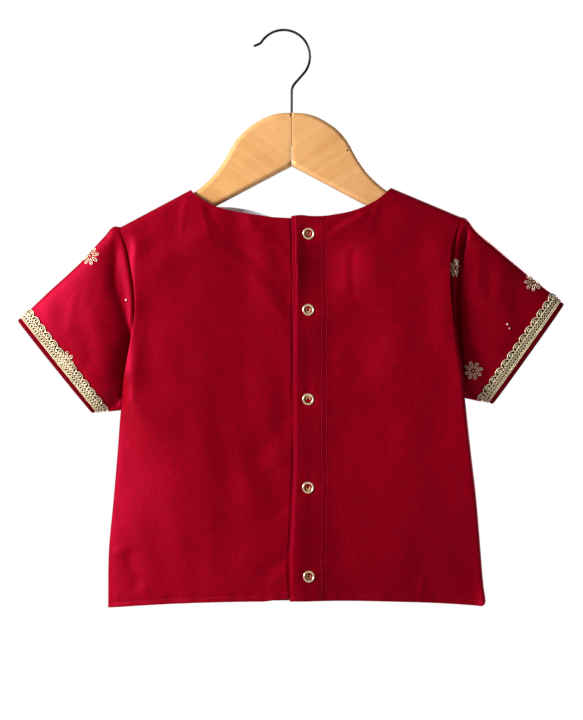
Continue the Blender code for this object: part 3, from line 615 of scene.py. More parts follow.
def shell(points, wall=WALL, closed=False, flip=False):
    """A thin cloth wall as (points, faces): a grid, its inner copy, and rounded edges that join them."""
    rows, columns = points.shape[:2]
    normals = grid_normals(points, closed, flip)
    count = rows * columns
    outer, inner = points.reshape(-1, 3), (points - normals * wall).reshape(-1, 3)
    index = np.arange(count).reshape(rows, columns)
    if closed:
        index = np.concatenate([index, index[:, :1]], axis=1)
    a, b, c, d = index[:-1, :-1], index[:-1, 1:], index[1:, 1:], index[1:, :-1]
    front = np.stack([a, b, c, d], axis=-1).reshape(-1, 4)
    faces = [front, front[:, ::-1] + count]
    if closed:
        loops = [(index[0, :-1], points[0] - points[1]), (index[-1, -2::-1], (points[-1] - points[-2])[::-1])]
    else:
        border = np.concatenate([index[0, :-1], index[:-1, -1], index[-1, :0:-1], index[:0:-1, 0]])
        down, right = unit(points[0] - points[1]), unit(points[:, -1] - points[:, -2])
        up, left = unit(points[-1] - points[-2]), unit(points[:, 0] - points[:, 1])
        beyond = np.zeros_like(points)
        beyond[0] += down
        beyond[-1] += up
        beyond[:, 0] += left
        beyond[:, -1] += right
        loops = [(border, beyond.reshape(-1, 3)[border])]
    made, start = [outer, inner], 2 * count
    for border, beyond in loops:
        size = len(border)
        top, low = outer[border], inner[border]
        normal = unit(top - low)
        beyond = unit(beyond - np.sum(beyond * normal, axis=-1, keepdims=True) * normal)
        strips = [border]
        for angle in np.radians([36, 72, 108, 144]):
            middle = (top + low) / 2 + (top - low) / 2 * math.cos(angle)
            made.append(middle + beyond * wall / 2 * math.sin(angle))
            strips.append(np.arange(start, start + size))
            start += size
        strips.append(border + count)
        for upper, lower in zip(strips, strips[1:]):
            faces.append(np.stack([np.roll(upper, -1), upper, lower, np.roll(lower, -1)], axis=-1))
    faces = np.concatenate(faces)
    return np.concatenate(made), (faces[:, ::-1] if flip else faces).tolist()


def around():
    """Shares of the way from a sleeve's top fold to its lower fold, used down the armhole too.

    They lie close together near both ends, where the cloth turns over.
    """
    near = TURN_OVER * np.linspace(0, 1, 13) ** 2.4
    count = int((SLEEVE_AROUND - 2 * TURN_OVER) / MESH_STEP) + 2
    middle = np.linspace(TURN_OVER, SLEEVE_AROUND - TURN_OVER, count)[1:-1]
    return np.concatenate([near, middle, SLEEVE_AROUND - near[::-1]]) / SLEEVE_AROUND


def hem_corner(side):
    x = float(edge_x[side](hem_z(HEM_HALF_WIDTH * side)))
    return x, float(hem_z(x))


def row_shares(side):
    """Shares of a side edge's height, from hem to shoulder."""
    hem = hem_corner(side)[1]
    close = hem + np.arange(0, HEM_ROWS_OVER, HEM_ROW_GAP)
    lower = np.linspace(close[-1], UNDERARM_Z[side], SIDE_ROWS)[1:-1]
    upper = mix(SHOULDER_Z[side], UNDERARM_Z[side], around())[::-1]
    return (np.concatenate([close, lower, upper]) - hem) / (SHOULDER_Z[side] - hem)


def evenly(first, last):
    """Columns (hem x, top x) strictly between two, a mesh step apart."""
    first, last = np.array(first), np.array(last)
    count = max(int(abs(last - first).max() / MESH_STEP), 1)
    return mix(first, last, np.linspace(0, 1, count + 1)[1:-1, None])


def side_columns(side):
    """Columns (hem x, top x) from a side edge to just inside the neck point, in that order."""
    hem_edge, top_edge = hem_corner(side)[0], float(edge_x[side](SHOULDER_Z[side]))
    offsets = EDGE_COLUMNS_OVER * (1 - np.cos(np.radians(np.linspace(0, 90, EDGE_COLUMNS))))
    near = np.stack([hem_edge - side * offsets, top_edge - side * offsets], axis=-1)
    at_neck = NECK_POINT[side][0]
    share = np.linspace(0, 1, NECK_COLUMNS)
    at_hem = at_neck * NECK_LEAN - side * NECK_REACH_HEM * share
    inside = np.stack([at_hem, at_neck - side * NECK_REACH_TOP * share**2], axis=-1)
    return np.concatenate([near, evenly(near[-1], inside[0]), inside])


def panel_grid(columns, panel, left_x, right_x, left_rows, right_rows):
    """Points (x, z) of a panel over columns of (hem x, top x), between two edges and their row shares."""
    hem_x, top_x = columns[:, 0], columns[:, 1]
    u = ((hem_x - hem_x[0]) / (hem_x[-1] - hem_x[0]))[None, :]
    v = mix(left_rows[:, None], right_rows[:, None], u)
    z = mix(hem_z(hem_x)[None, :], top_z(top_x, panel)[None, :], v)
    straight = mix(hem_x[None, :], top_x[None, :], v)
    x = straight + (1 - u) * (left_x(z[:, :1]) - straight[:, :1])
    x = x + u * (right_x(z[:, -1:]) - straight[:, -1:])
    return x, z


def reach_along(line):
    """The distance run at each point of a line, from its first."""
    return np.concatenate([[0], np.cumsum(np.linalg.norm(np.diff(line, axis=0), axis=1))])


def line_at(at, along, line):
    """The values of a line's three columns where along it is at."""
    return np.stack([np.interp(at, along, line[:, axis]) for axis in range(3)], axis=-1)


def stitches(line, outward):
    """Short stitches as strand chunks along a line of points, each sunk into the cloth at its ends."""
    reach = reach_along(line)
    chunks = []
    for start in np.arange(1.0, reach[-1] - STITCH_LENGTH - 1, STITCH_LENGTH + STITCH_GAP):
        at = start + STITCH_LENGTH * np.array(STITCH_AT)
        up = unit(line_at(at, reach, outward))
        path = line_at(at, reach, line) + up * np.array(STITCH_LIFT)[:, None]
        chunks.append(strand(path, STITCH_RADIUS, up, 6))
    return chunks


def crimson(name, turn=0.0):
    """Silk blend in crimson: fine crossing threads with slubs, a soft magenta lustre and uneven dye."""
    silk = Finish(
        name,
        Metallic=0.22,
        IOR=1.5,
        Specular_IOR_Level=0.55,
        Specular_Tint=(1.0, 0.0, 0.26, 1.0),
        Sheen_Weight=0.12,
        Sheen_Roughness=0.42,
        Sheen_Tint=(1.0, 0.0, 0.14, 1.0),
    )
    place = silk.leaning(turn)
    warp = silk.noise((1500, 300, 110), 2.0, 0.6, place=place)
    weft = silk.noise((130, 300, 1400), 2.0, 0.6, place=place)
    slubs = silk.noise((60, 120, 620), 1.0, place=place).between(0.6, 0.78)
    dye = silk.noise((24, 24, 20), 3.0, place=place)
    threads = warp * 0.6 + weft * 0.4
    shade = threads.between(0.34, 0.66)
    colour = silk.tint(shade * 0.85 + slubs * 0.15, (0.195, 0.0001, 0.0019), (0.30, 0.0003, 0.0042))
    colour = silk.tint(dye.between(0.4, 0.7) * 0.25, colour, (0.2, 0.0001, 0.0019))
    across = silk.node("ShaderNodeSeparateXYZ", None, {0: place}, "X")
    upward = silk.node("ShaderNodeSeparateXYZ", None, {0: place}, "Z")
    crossings = 2 * math.pi / WEAVE_PITCH
    plain = (across * crossings).sine() * (upward * crossings).sine()
    height = threads + slubs * 0.5 + plain * 0.12
    return silk.done(height, 0.07, Base_Color=colour, Roughness=0.6 - 0.12 * threads + 0.05 * slubs)


body_silk = crimson("crimson_silk")
stitch_thread = Finish("crimson_thread", Roughness=0.45, Specular_Tint=(1.0, 0.1, 0.25, 1.0))
ply = stitch_thread.noise((3000, 3000, 3000), 1.0)
colour = stitch_thread.tint(ply, (0.16, 0.001, 0.003), (0.46, 0.006, 0.02))
thread_red = stitch_thread.done(ply, 0.05, Base_Color=colour)

left, right = side_columns(LEFT), side_columns(RIGHT)[::-1]
columns = np.concatenate([left, evenly(left[-1], right[0]), right])
x, z = panel_grid(columns, "front", edge_x[LEFT], edge_x[RIGHT], row_shares(LEFT), row_shares(RIGHT))
z = z - FRONT_HEM_SAG * np.exp(-(((x + 12) / 42) ** 2)) * step(1 - (z - hem_z(x)) / 120)
relief = crease_rise(x, z, FRONT_CREASES) + rumple(x, z, 3, 38.0, 0.22) + seam_pucker(x, z, 0.4)
y = body_y(x, z, FRONT, relief, raised=-hem_swing(x, z) * beside_seam(x, z) - CORNER_CURL * corner_curl(x, z))
front_points = np.stack([x, y, rounded_corner(x, z)], axis=-1)
front = add_piece("front_panel", [shell(front_points, flip=True)], body_silk)
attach(front, "root")
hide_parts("front")


def hem_stitches(grid, flip=False, first=4):
    """Chunks of the row of stitches that holds up a panel's hem."""
    height = np.linalg.norm(grid - grid[:1], axis=-1)
    normals = grid_normals(grid, flip=flip)
    line, up = [], []
    for c in range(first, grid.shape[1] - 4):
        line.append(line_at(HEM_STITCH, height[:HEM_ROWS, c], grid[:HEM_ROWS, c]))
        up.append(normals[4, c])
    return stitches(np.array(line), np.array(up))


front_hem = add_piece("front_hem_stitches", hem_stitches(front_points, True), thread_red)
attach(front_hem, "root")

# The neck facing
# A strip of blue-grey cotton with dark flecks, sewn along the inside of the front neckline and turned in.
# It shows above the back neckline, where the front stands a little higher.

FACING_DEPTH = 26.0
FACING_END_GAP = 5.0
FACING_BELOW_EDGE = 0.3
FACING_SPREAD = 0.08
FACING_WAVE = 0.25

cotton = Finish("blue_grey_cotton", Specular_IOR_Level=0.25, Sheen_Weight=0.15, Sheen_Roughness=0.5)
threads = cotton.noise((2400, 400, 160), 2.0) * 0.5
threads = threads + cotton.noise((160, 400, 2400), 2.0) * 0.5
flecks = cotton.noise((700, 700, 900), 2.0, 0.7).between(0.58, 0.66)
colour = cotton.tint(threads.between(0.35, 0.65), (0.68, 0.78, 0.96), (0.88, 0.96, 1.0))
colour = cotton.tint(flecks * 0.55, colour, (0.10, 0.11, 0.17))
lining = cotton.done(threads, 0.12, Base_Color=colour, Roughness=0.82 - 0.1 * threads)

ends = NECK_POINT[LEFT][0] + FACING_END_GAP, NECK_POINT[RIGHT][0] - FACING_END_GAP
across = np.linspace(*ends, 90)[None, :]
down = np.linspace(0, FACING_DEPTH, 18)[:, None]
x = across * (1 + FACING_SPREAD * down / FACING_DEPTH)
z = neck_z["front"](across) - FACING_BELOW_EDGE - down
y = body_y(x, z, FRONT) - WALL - SEAM_GAP - FACING_WAVE * np.sin(across / 3.1) * np.exp(-down / 9)
facing = add_piece("neck_facing_lining", [shell(np.stack([x, y, z], axis=-1)[::-1], flip=True)], lining)
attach(facing, "root")
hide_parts("neck_facing")

# The left back panel
# The under half of the opening back, in the same crimson silk. Its edge runs on beneath the placket, pressed
# down to make room for the snaps, and drags toward them in small diagonal folds.

BACK_FOLDS = (
    (-84.0, -215.0, -88.0, -385.0, 26.0, -1.8),
    (-118.0, -196.0, -70.0, -168.0, 15.0, -2.0),
    (-52.0, -160.0, -30.0, -177.0, 8.0, 0.3),
    (-34.0, -174.0, -6.0, -206.0, 9.0, 0.6),
    (105.0, -185.0, 107.0, -245.0, 9.0, 0.3),
    (-6.0, -420.0, -24.0, -438.0, 8.0, 0.6),
    (-8.0, -318.0, -30.0, -344.0, 9.0, 1.0),
    (60.0, -230.0, 66.0, -400.0, 24.0, 0.8),
    (-130.0, -418.0, -122.0, -440.0, 5.0, 1.2),
)
LAP_FOLDS = (
    (12.0, -176.0, 12.5, -209.0, 6.0, 0.8),
    (11.5, -240.0, 12.0, -278.0, 6.0, 0.6),
    (13.0, -308.0, 15.0, -350.0, 7.0, 0.5),
    (15.0, -378.0, 16.0, -420.0, 7.5, 0.6),
)
LAP_EDGE = (
    # height, x of the placket's folded edge
    (-147.0, -0.5), (-165.5, 0.6), (-183.0, 0.6), (-195.0, 1.2), (-208.7, 0.8), (-237.5, 1.2),
    (-295.0, 1.1), (-321.5, 1.4), (-344.4, 1.4), (-361.5, 0.8), (-381.5, -0.1), (-405.5, -1.2),
    (-415.0, -1.8), (-435.0, -1.9), (-453.3, -1.5),
)
UNDERLAP_FROM, UNDERLAP_END = -20.0, 26.0
UNDERLAP_COLUMN = 1.15
BACK_WALL = 0.6
UNDERLAP_SINK = 1.4
UNDERLAP_RAMP = 2.0
RAMP_BENEATH = 0.8
LAP_SAG = (
    # height, how far the placket sinks toward its stitches
    (-147.0, 0.8), (-163.0, 1.0), (-176.0, 5.0), (-207.0, 4.6), (-224.0, 1.6), (-240.0, 3.8),
    (-276.0, 3.8), (-293.0, 1.5), (-312.0, 2.8), (-348.0, 2.8), (-364.5, 1.5), (-382.0, 3.0),
    (-418.0, 3.0), (-434.2, 1.6), (-453.3, 1.2),
)
# where the upper hollow begins, over how much height
UPPER_SAG, UPPER_CREST = (-224, 18), (-236, 20)
# below it, in it
LAP_CREST_AT = (3.2, 3.5)
SAG_FALL, SAG_EASE = (30, 24), (1.5, 1.1)
SAG_END, SAG_RISE = (32, 25), (60, 42)
UNDERLAP_LIFT = 2.6
LIFT_FROM, LIFT_OVER, LIFT_HEIGHT = -24, 22, 40
# height, width on its inner side
ARM_RIDGE = {LEFT: (2.3, 9.5), RIGHT: (1.9, 15.0)}
ARM_RIDGE_OUTER = 4.6
ARM_RIDGE_AT = {
    # height, distance of the ridge's crest from the edge
    LEFT: (
        (-160.0, 12.0), (-171.0, 8.5), (-191.0, 3.4), (-215.0, 1.5), (-239.0, 1.5), (-263.0, 3.0),
        (-300.0, 8.0),
    ),
    RIGHT: ((-160.0, 3.0), (-200.0, 0.0), (-400.0, 0.0)),
}
# where it ends, over how much height
ARM_RIDGE_FOOT = {LEFT: (-292.0, 22.0), RIGHT: (-395.0, 70.0)}
ARM_RIDGE_HEAD = (-158, 16)
LEFT_CREASES = (
    (2.2, 0.45, (-54, -160), (-36, -172), (-16, -184)),
    (2.4, -0.6, (-48, -169), (-26, -187), (-4, -216)),
    (2.0, 0.35, (-52, -178), (-30, -197), (-8, -226)),
    (3.0, 0.6, (-24, -163), (-6, -177)),
    (2.6, -0.5, (-66, -143), (-58, -158)),
    (2.4, 0.5, (-72, -142), (-66, -162)),
    (2.2, -0.6, (-14, -193), (-2, -193.5)),
    (2.0, -0.5, (-27, -148), (-23, -157)),
    (2.2, 0.5, (-36, -147), (-31, -158)),
    (2.0, -0.45, (-47, -146), (-42, -156)),
    (2.4, -0.5, (-13, -313), (-1, -309)),
    (2.4, -0.5, (-14, -351), (-2, -345)),
    (2.6, -0.6, (-14, -386), (-2, -375)),
    (2.8, -0.7, (-21, -429), (-3, -419)),
    (2.2, 0.5, (-18, -440), (-4, -429)),
    (2.6, 0.6, (-143, -417), (-130, -414)),
    (3.0, 0.6, (-126, -433), (-118, -446)),
    (2.2, 0.5, (-84, -134), (-88, -160)),
)


def lap_edge(z):
    return smooth(LAP_EDGE)(z)


def upper_share(z, start, over):
    """1 above the second snap, where the placket's hollow is deepest, and 0 below it."""
    return step((z - start) / over)


def crest_at(z):
    """The crest's distance from the placket's edge."""
    return mix(*LAP_CREST_AT, upper_share(z, *UPPER_CREST))


def placket_sag(x, z):
    """How far both layers sink from the placket's crest on, in a narrower hollow above the second snap."""
    upper = upper_share(z, *UPPER_SAG)
    t = np.clip((x - lap_edge(z) - crest_at(z) + 0.4) / mix(*SAG_FALL, upper), 0, 1)
    fall = 1 - (1 - t) ** 2 * (1 + mix(*SAG_EASE, upper) * t)
    rise = step((x - mix(*SAG_END, upper)) / mix(*SAG_RISE, upper))
    return smooth(LAP_SAG)(z) * fall * (1 - rise)


def arm_ridge(x, z, side):
    """The low ridge in which the cloth rises beside an armhole before it falls to the seam."""
    height, inner = ARM_RIDGE[side]
    off = side * (edge_x[side](z) - x) - smooth(ARM_RIDGE_AT[side])(z)
    foot, over = ARM_RIDGE_FOOT[side]
    shape = np.exp(-((off / np.where(off > 0, inner, ARM_RIDGE_OUTER)) ** 2))
    head, under = ARM_RIDGE_HEAD
    return height * shape * step((z - foot) / over) * step((head - z) / under)


left = side_columns(LEFT)
placket = np.arange(UNDERLAP_FROM, UNDERLAP_END + 0.1, UNDERLAP_COLUMN)
placket = np.stack([placket, placket], axis=-1)
columns = np.concatenate([left, evenly(left[-1], placket[0]), placket])
rows = row_shares(LEFT)
x, z = panel_grid(columns, "back_left", edge_x[LEFT], lambda z: np.full_like(z, UNDERLAP_END), rows, rows)
z = z + UNDERLAP_LIFT * step((x - LIFT_FROM) / LIFT_OVER) * step(1 - (z - hem_z(x)) / LIFT_HEIGHT)
ramp = step((x - lap_edge(z) + UNDERLAP_RAMP) / (UNDERLAP_RAMP + RAMP_BENEATH))
raised = hem_swing(x, z) - UNDERLAP_SINK * ramp - placket_sag(x, z) + arm_ridge(x, z, LEFT)
relief = (crease_rise(x, z, LEFT_CREASES) + rumple(x, z, 11, 34.0, 0.24)) * (1 - ramp)
relief = relief + seam_pucker(x, z, 1.7)
sunk = fold_depth(x, z, LAP_FOLDS) * ramp
y = body_y(x, z, BACK, relief, BACK_FOLDS, sunk, raised, 1 - ramp)
left_points = np.stack([x, y, z], axis=-1)
back_left = add_piece("back_panel_left", [shell(left_points, BACK_WALL)], body_silk)
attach(back_left, "root")
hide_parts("back_left")

left_hem = add_piece("left_hem_stitches", hem_stitches(left_points), thread_red)
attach(left_hem, "root")

# The right back panel and its placket
# The upper half of the opening. Its edge is folded in over a second band and held by two rows of stitches,
# and the five snaps draw it down in a hollow between each pair.

LAP_RAISE = 0.5
LAP_CREST = 0.3
# below the upper hollow, in it
LAP_DROP = (0.65, 0.3)
LAP_ROLL_OVER = (3.6, 4.4)
CREST_OUTER, CREST_INNER = 0.9, 2.6
BAND_BLEND = 13.0
BAND_GAP = 0.2
# the rows and columns of the panel that the band lies beneath, and the columns of its placket
BAND_ROWS, BAND_COLUMNS = slice(1, -3), slice(9, 40)
PLACKET_COLUMNS = 60
LAP_STITCH = 26.6
STITCH_ROWS = (23.8, 27.7)
SNAP_X = 13.0
SNAP_HEIGHTS = (-162.6, -224.2, -293.0, -364.5, -434.2)
RIGHT_CREASES = (
    (2.6, 0.9, (31, -164), (44, -155), (58, -147)),
    (3.0, -0.9, (32, -158), (41, -152), (50, -148)),
    (2.6, -0.5, (34, -176), (52, -166)),
    (2.4, 0.45, (70, -137), (62, -158)),
    (2.0, 0.35, (43, -180), (43.5, -205)),
    (2.0, -0.3, (49, -178), (49, -214)),
    (1.8, 0.8, (105, -437), (101, -454)),
    (1.5, 0.45, (120, -435), (119, -441)),
)
DIMPLE_DEPTH, DIMPLE_REACH = 0.45, 8.5
PUCKER_DEPTH, PUCKER_AT = 0.16, 7.5
EYE_SINK, RING_SINK = 0.9, 0.7


def lap_x(z, across):
    """The x of a row of the placket's stitches, which wavers a little about across."""
    return across + 0.35 * np.sin(z / 21.0) + 0.2 * np.sin(z / 7.3)


def snap_dimples(x, z):
    """The cloth pressed down round each snap, with short puckers that spread from it."""
    total = np.zeros(np.broadcast(x, z).shape)
    for number, height in enumerate(SNAP_HEIGHTS):
        off = np.hypot(x - SNAP_X, z - height)
        turn = np.arctan2(z - height, x - SNAP_X)
        spread = np.exp(-(((off - PUCKER_AT) / 3.0) ** 2))
        total = total - DIMPLE_DEPTH * np.exp(-((off / DIMPLE_REACH) ** 4))
        total = total + PUCKER_DEPTH * np.cos(5 * turn + number) * spread
        total = total - EYE_SINK * np.exp(-((off / 2.6) ** 4))
        total = total - RING_SINK * np.exp(-(((off - 5.0) / 0.9) ** 2))
    return total


placket = np.concatenate([np.linspace(0, 5.4, 16), np.arange(6.2, 38, 0.9)])
placket = np.stack([placket, placket + lap_edge(LAP_EDGE[0][0])], axis=-1)
right = side_columns(RIGHT)[::-1]
columns = np.concatenate([placket, evenly(placket[-1], right[0]), right])
rows = row_shares(RIGHT)
x, z = panel_grid(columns, "back_right", lap_edge, edge_x[RIGHT], rows, rows)
beyond = step((x - LAP_STITCH) / BAND_BLEND)
relief = crease_rise(x, z, RIGHT_CREASES) + rumple(x, z, 23, 34.0, 0.22) * (0.4 + 0.6 * beyond)
relief = relief + seam_pucker(x, z, 4.2) + snap_dimples(x, z)
for number, across in enumerate(STITCH_ROWS):
    off = x - lap_x(z, across)
    ripple = np.sin(z / 2.1 + 2 * np.sin(z / 13 + number)) + 0.6 * np.sin(z / 3.7 + number)
    relief = relief - 0.16 * np.exp(-((off / 0.9) ** 2)) + 0.1 * ripple * np.exp(-((off / 3.0) ** 2))
inside_edge = x - lap_edge(z)
upper = upper_share(z, *UPPER_CREST)
off_crest = inside_edge - crest_at(z)
crest = LAP_CREST * upper * np.exp(-((off_crest / np.where(off_crest < 0, CREST_OUTER, CREST_INNER)) ** 2))
roll = crest - mix(*LAP_DROP, upper) * (1 - step(inside_edge / mix(*LAP_ROLL_OVER, upper)))
raised = LAP_RAISE * (1 - step((x - LAP_STITCH + 4) / 9)) + roll - placket_sag(x, z) + hem_swing(x, z)
raised = raised + CORNER_CURL * corner_curl(x, z) + arm_ridge(x, z, RIGHT)
y = body_y(x, z, BACK, relief, BACK_FOLDS, fold_depth(x, z, LAP_FOLDS), raised, beyond)
right_points = np.stack([x, y, rounded_corner(x, z)], axis=-1)
back_right = add_piece("back_panel_right", [shell(right_points, BACK_WALL)], body_silk)
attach(back_right, "root")
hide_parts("back_right")

inside = right_points - grid_normals(right_points) * (BACK_WALL + BAND_GAP)
band = add_piece("placket_band", [shell(inside[BAND_ROWS, BAND_COLUMNS], BACK_WALL)], body_silk)
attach(band, "root")
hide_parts("overlap_band")

normals = grid_normals(right_points)
lines = hem_stitches(right_points, first=1)
for across in STITCH_ROWS:
    line, up = [], []
    for row, row_normals in list(zip(right_points, normals))[3:-3]:
        at, row = lap_x(row[0, 2], across), row[:PLACKET_COLUMNS]
        line.append(line_at(at, row[:, 0], row))
        up.append(line_at(at, row[:, 0], row_normals[:PLACKET_COLUMNS]))
    lines += stitches(np.array(line), np.array(up))
placket_stitches = add_piece("placket_stitches", lines, thread_red)
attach(placket_stitches, "root")

# The sleeves
# Each is cut in one piece, folded over at the top and seamed below, and set into the armhole behind the
# body's edge. The cloth stands up in a narrow ridge beside the seam, then sinks into a deep tuck.

SIDES = ((LEFT, "left"), (RIGHT, "right"))
SLEEVE_TOP = {
    LEFT: (
        # x, z
        (-136.9, -156.7), (-141.5, -156.3), (-148.9, -163.6), (-157.4, -172.8), (-166.0, -182.4),
        (-179.4, -195.1), (-191.8, -206.2), (-208.9, -222.4), (-218.6, -231.8),
    ),
    RIGHT: (
        (135.0, -148.6), (138.6, -149.7), (147.3, -159.6), (165.0, -174.6), (187.4, -193.6),
        (202.1, -205.3), (211.4, -212.6), (217.3, -218.7),
    ),
}
CUFF_BOTTOM = {LEFT: (-159.9, -304.7), RIGHT: (161.0, -297.5)}
CUFF_HALF = 6.6
CUFF_ROUND = 38.0
SLEEVE_PUFF = {LEFT: {BACK: 5.4, FRONT: 4.4}, RIGHT: {BACK: 2.6, FRONT: 4.4}}
TUCK_FRONT_SHARE = 0.45
TUCK = {
    # share of the way down the armhole, distance of the tuck's floor from it, depth, flat share
    LEFT: (
        (0.05, 8.0, 0.0, 0.1),
        (0.11, 10.5, 2.4, 0.1),
        (0.24, 16.0, 4.0, 0.0),
        (0.40, 12.0, 4.0, 0.05),
        (0.50, 7.5, 4.2, 0.1),
        (0.58, 2.4, 4.0, 0.0),
        (0.66, 0.5, 4.6, 0.0),
        (0.73, 0.3, 5.2, 0.0),
        (0.85, 0.3, 4.6, 0.0),
        (1.00, 0.3, 2.0, 0.0),
    ),
    RIGHT: (
        (0.03, 9.5, 0.0, 0.4),
        (0.15, 9.0, 8.0, 0.6),
        (0.35, 7.6, 11.5, 0.6),
        (0.52, 4.7, 11.5, 0.5),
        (0.68, 2.0, 11.0, 0.3),
        (0.85, 1.4, 9.5, 0.1),
        (1.00, 1.4, 4.0, 0.1),
    ),
}
TUCK_PINCH = {LEFT: 0.0, RIGHT: 0.7}
TUCK_PINCH_OVER = 1.9
TUCK_LIMIT = {LEFT: 0.8, RIGHT: 0.88}
TUCK_RISE = {LEFT: 8.5, RIGHT: 34.0}
TUCK_POWER = {LEFT: 1.15, RIGHT: 2.0}
RIDGE_HEIGHT, RIDGE_HALF = 0.1, 2.2
SEAM_DEPTH = {LEFT: 1.8, RIGHT: 1.2}
SEAM_REACH = 3.4
SEAM_UNDER = 4.0
UNDER_EDGE = 1.1
SLEEVE_SEAM_HALF = {LEFT: 9.3, RIGHT: 10.0}
BINDING_WIDTH = 2.3
SLEEVE_CREASES = {
    LEFT: (
        (3.0, 0.6, (-148, -289.5), (-137, -284)),
        (3.2, -0.4, (-150, -283), (-139, -278)),
        (6.0, -0.6, (-150, -180), (-158, -215)),
        (5.0, 0.4, (-172, -205), (-178, -240)),
        (5.0, -0.4, (-160, -262), (-172, -284)),
    ),
    RIGHT: (
        (4.5, 0.7, (150, -170), (148, -205)),
        (4.0, -0.6, (157, -174), (158, -212)),
        (4.5, 0.5, (167, -182), (165, -214)),
        (5.0, -0.5, (178, -192), (180, -225)),
        (4.0, 0.5, (150, -272), (146, -291)),
    ),
}
GRAIN_TURN = {LEFT: 42.0, RIGHT: -42.0}


def edge_half(z, side, face):
    """How far the body's edge stands from the middle plane down the armhole."""
    return body_half(edge_x[side](z), z, face) * armhole_share(z, side, face)


def armhole_half(z, side, face):
    """How far the sleeve's seam stands from the middle plane, a little lower than the back's edge."""
    return np.minimum(edge_half(z, side, face), SLEEVE_SEAM_HALF[side])


def sleeve_top(side, v):
    """The point of the sleeve's top outline at share v of its length."""
    rows = np.array(SLEEVE_TOP[side])
    along = np.concatenate([[0], np.cumsum(np.hypot(*np.diff(rows, axis=0).T))])
    share = along / along[-1]
    return smooth(tuple(zip(share, rows[:, 0])))(v), smooth(tuple(zip(share, rows[:, 1])))(v)


def armhole(side, w):
    z = mix(SHOULDER_Z[side], UNDERARM_Z[side], w)
    return edge_x[side](z) + side * SEAM_GAP, z


def cuff(side, w):
    (top_x, top_height), (low_x, low_height) = SLEEVE_TOP[side][-1], CUFF_BOTTOM[side]
    return mix(top_x, low_x, w), mix(top_height, low_height, w)


def sleeve_length(side, w):
    (ax, az), (cx, cz) = armhole(side, w), cuff(side, w)
    return np.hypot(cx - ax, cz - az)


def tuck_depth(side, v, w):
    """Depth of the tuck beside the armhole: steep on the body's side, gentler on the sleeve's."""
    floor_at, depth, flat = (smooth([(row[0], row[i]) for row in TUCK[side]])(w) for i in (1, 2, 3))
    length = sleeve_length(side, w)
    floor_at = np.maximum(floor_at, 0.2)
    beyond = np.maximum(v * length - floor_at, 0)
    going_down = np.clip((v * length / floor_at - flat) / (1 - flat), 0, 1)
    going_down = mix(going_down, step(going_down), 0.5)
    broad = np.exp(-((beyond / TUCK_RISE[side]) ** TUCK_POWER[side]))
    coming_up = mix(broad, np.exp(-beyond / TUCK_PINCH_OVER), TUCK_PINCH[side])
    return depth * np.where(v * length < floor_at, going_down, coming_up) * step((1 - v) * length / 20)


def sleeve_point(side, v, w, face):
    """The outer face of a sleeve: v runs from armhole to cuff, w from its top fold to its lower fold."""
    v, w = np.broadcast_arrays(np.asarray(v, float), np.asarray(w, float))
    arm, end, top = armhole(side, w), cuff(side, w), sleeve_top(side, v)
    first, last = armhole(side, 0.0), armhole(side, 1.0)
    top_end, low_end = cuff(side, 0.0), cuff(side, 1.0)
    place = []
    for axis in (0, 1):
        corners = mix(mix(first[axis], last[axis], w), mix(top_end[axis], low_end[axis], w), v)
        low = mix(last[axis], low_end[axis], v)
        place.append(mix(arm[axis], end[axis], v) + mix(top[axis], low, w) - corners)
    x, z = place
    at_arm = armhole_half(mix(SHOULDER_Z[side], UNDERARM_Z[side], w), side, face)
    width = math.hypot(top_end[0] - low_end[0], top_end[1] - low_end[1])
    folds = cap(w * width / CUFF_ROUND) * cap((1 - w) * width / CUFF_ROUND)
    puff = SLEEVE_PUFF[side][face] * np.sin(math.pi * v) * np.sin(math.pi * w)
    broad = mix(at_arm, CUFF_HALF * folds, step(v)) + puff
    tuck = tuck_depth(side, v, w) * (TUCK_FRONT_SHARE if face == FRONT else 1.0)
    # never so deep that the two faces meet
    most = 0.02 + TUCK_LIMIT[side] * broad
    tuck = most * np.tanh(tuck / most)
    calm = step(v / 0.1) * step((1 - v) / 0.2) * folds
    fine = rumple(x, z, 31 + side + 5 * face, 30.0, 0.28, 0.2)
    if face == BACK:
        fine = fine + crease_rise(x, z, SLEEVE_CREASES[side])
    y = face * (broad - tuck + fine * calm)
    return np.stack([x, y, z], axis=-1)


def closed_round(back, front):
    """Rows that run down a sleeve's back face, then up its front face to where they began."""
    return np.concatenate([back, front[:, -2:0:-1]], axis=1)


def ring(side, v, w):
    """A closed band of a sleeve's outer points."""
    return closed_round(*(sleeve_point(side, v, w, face) for face in (BACK, FRONT)))


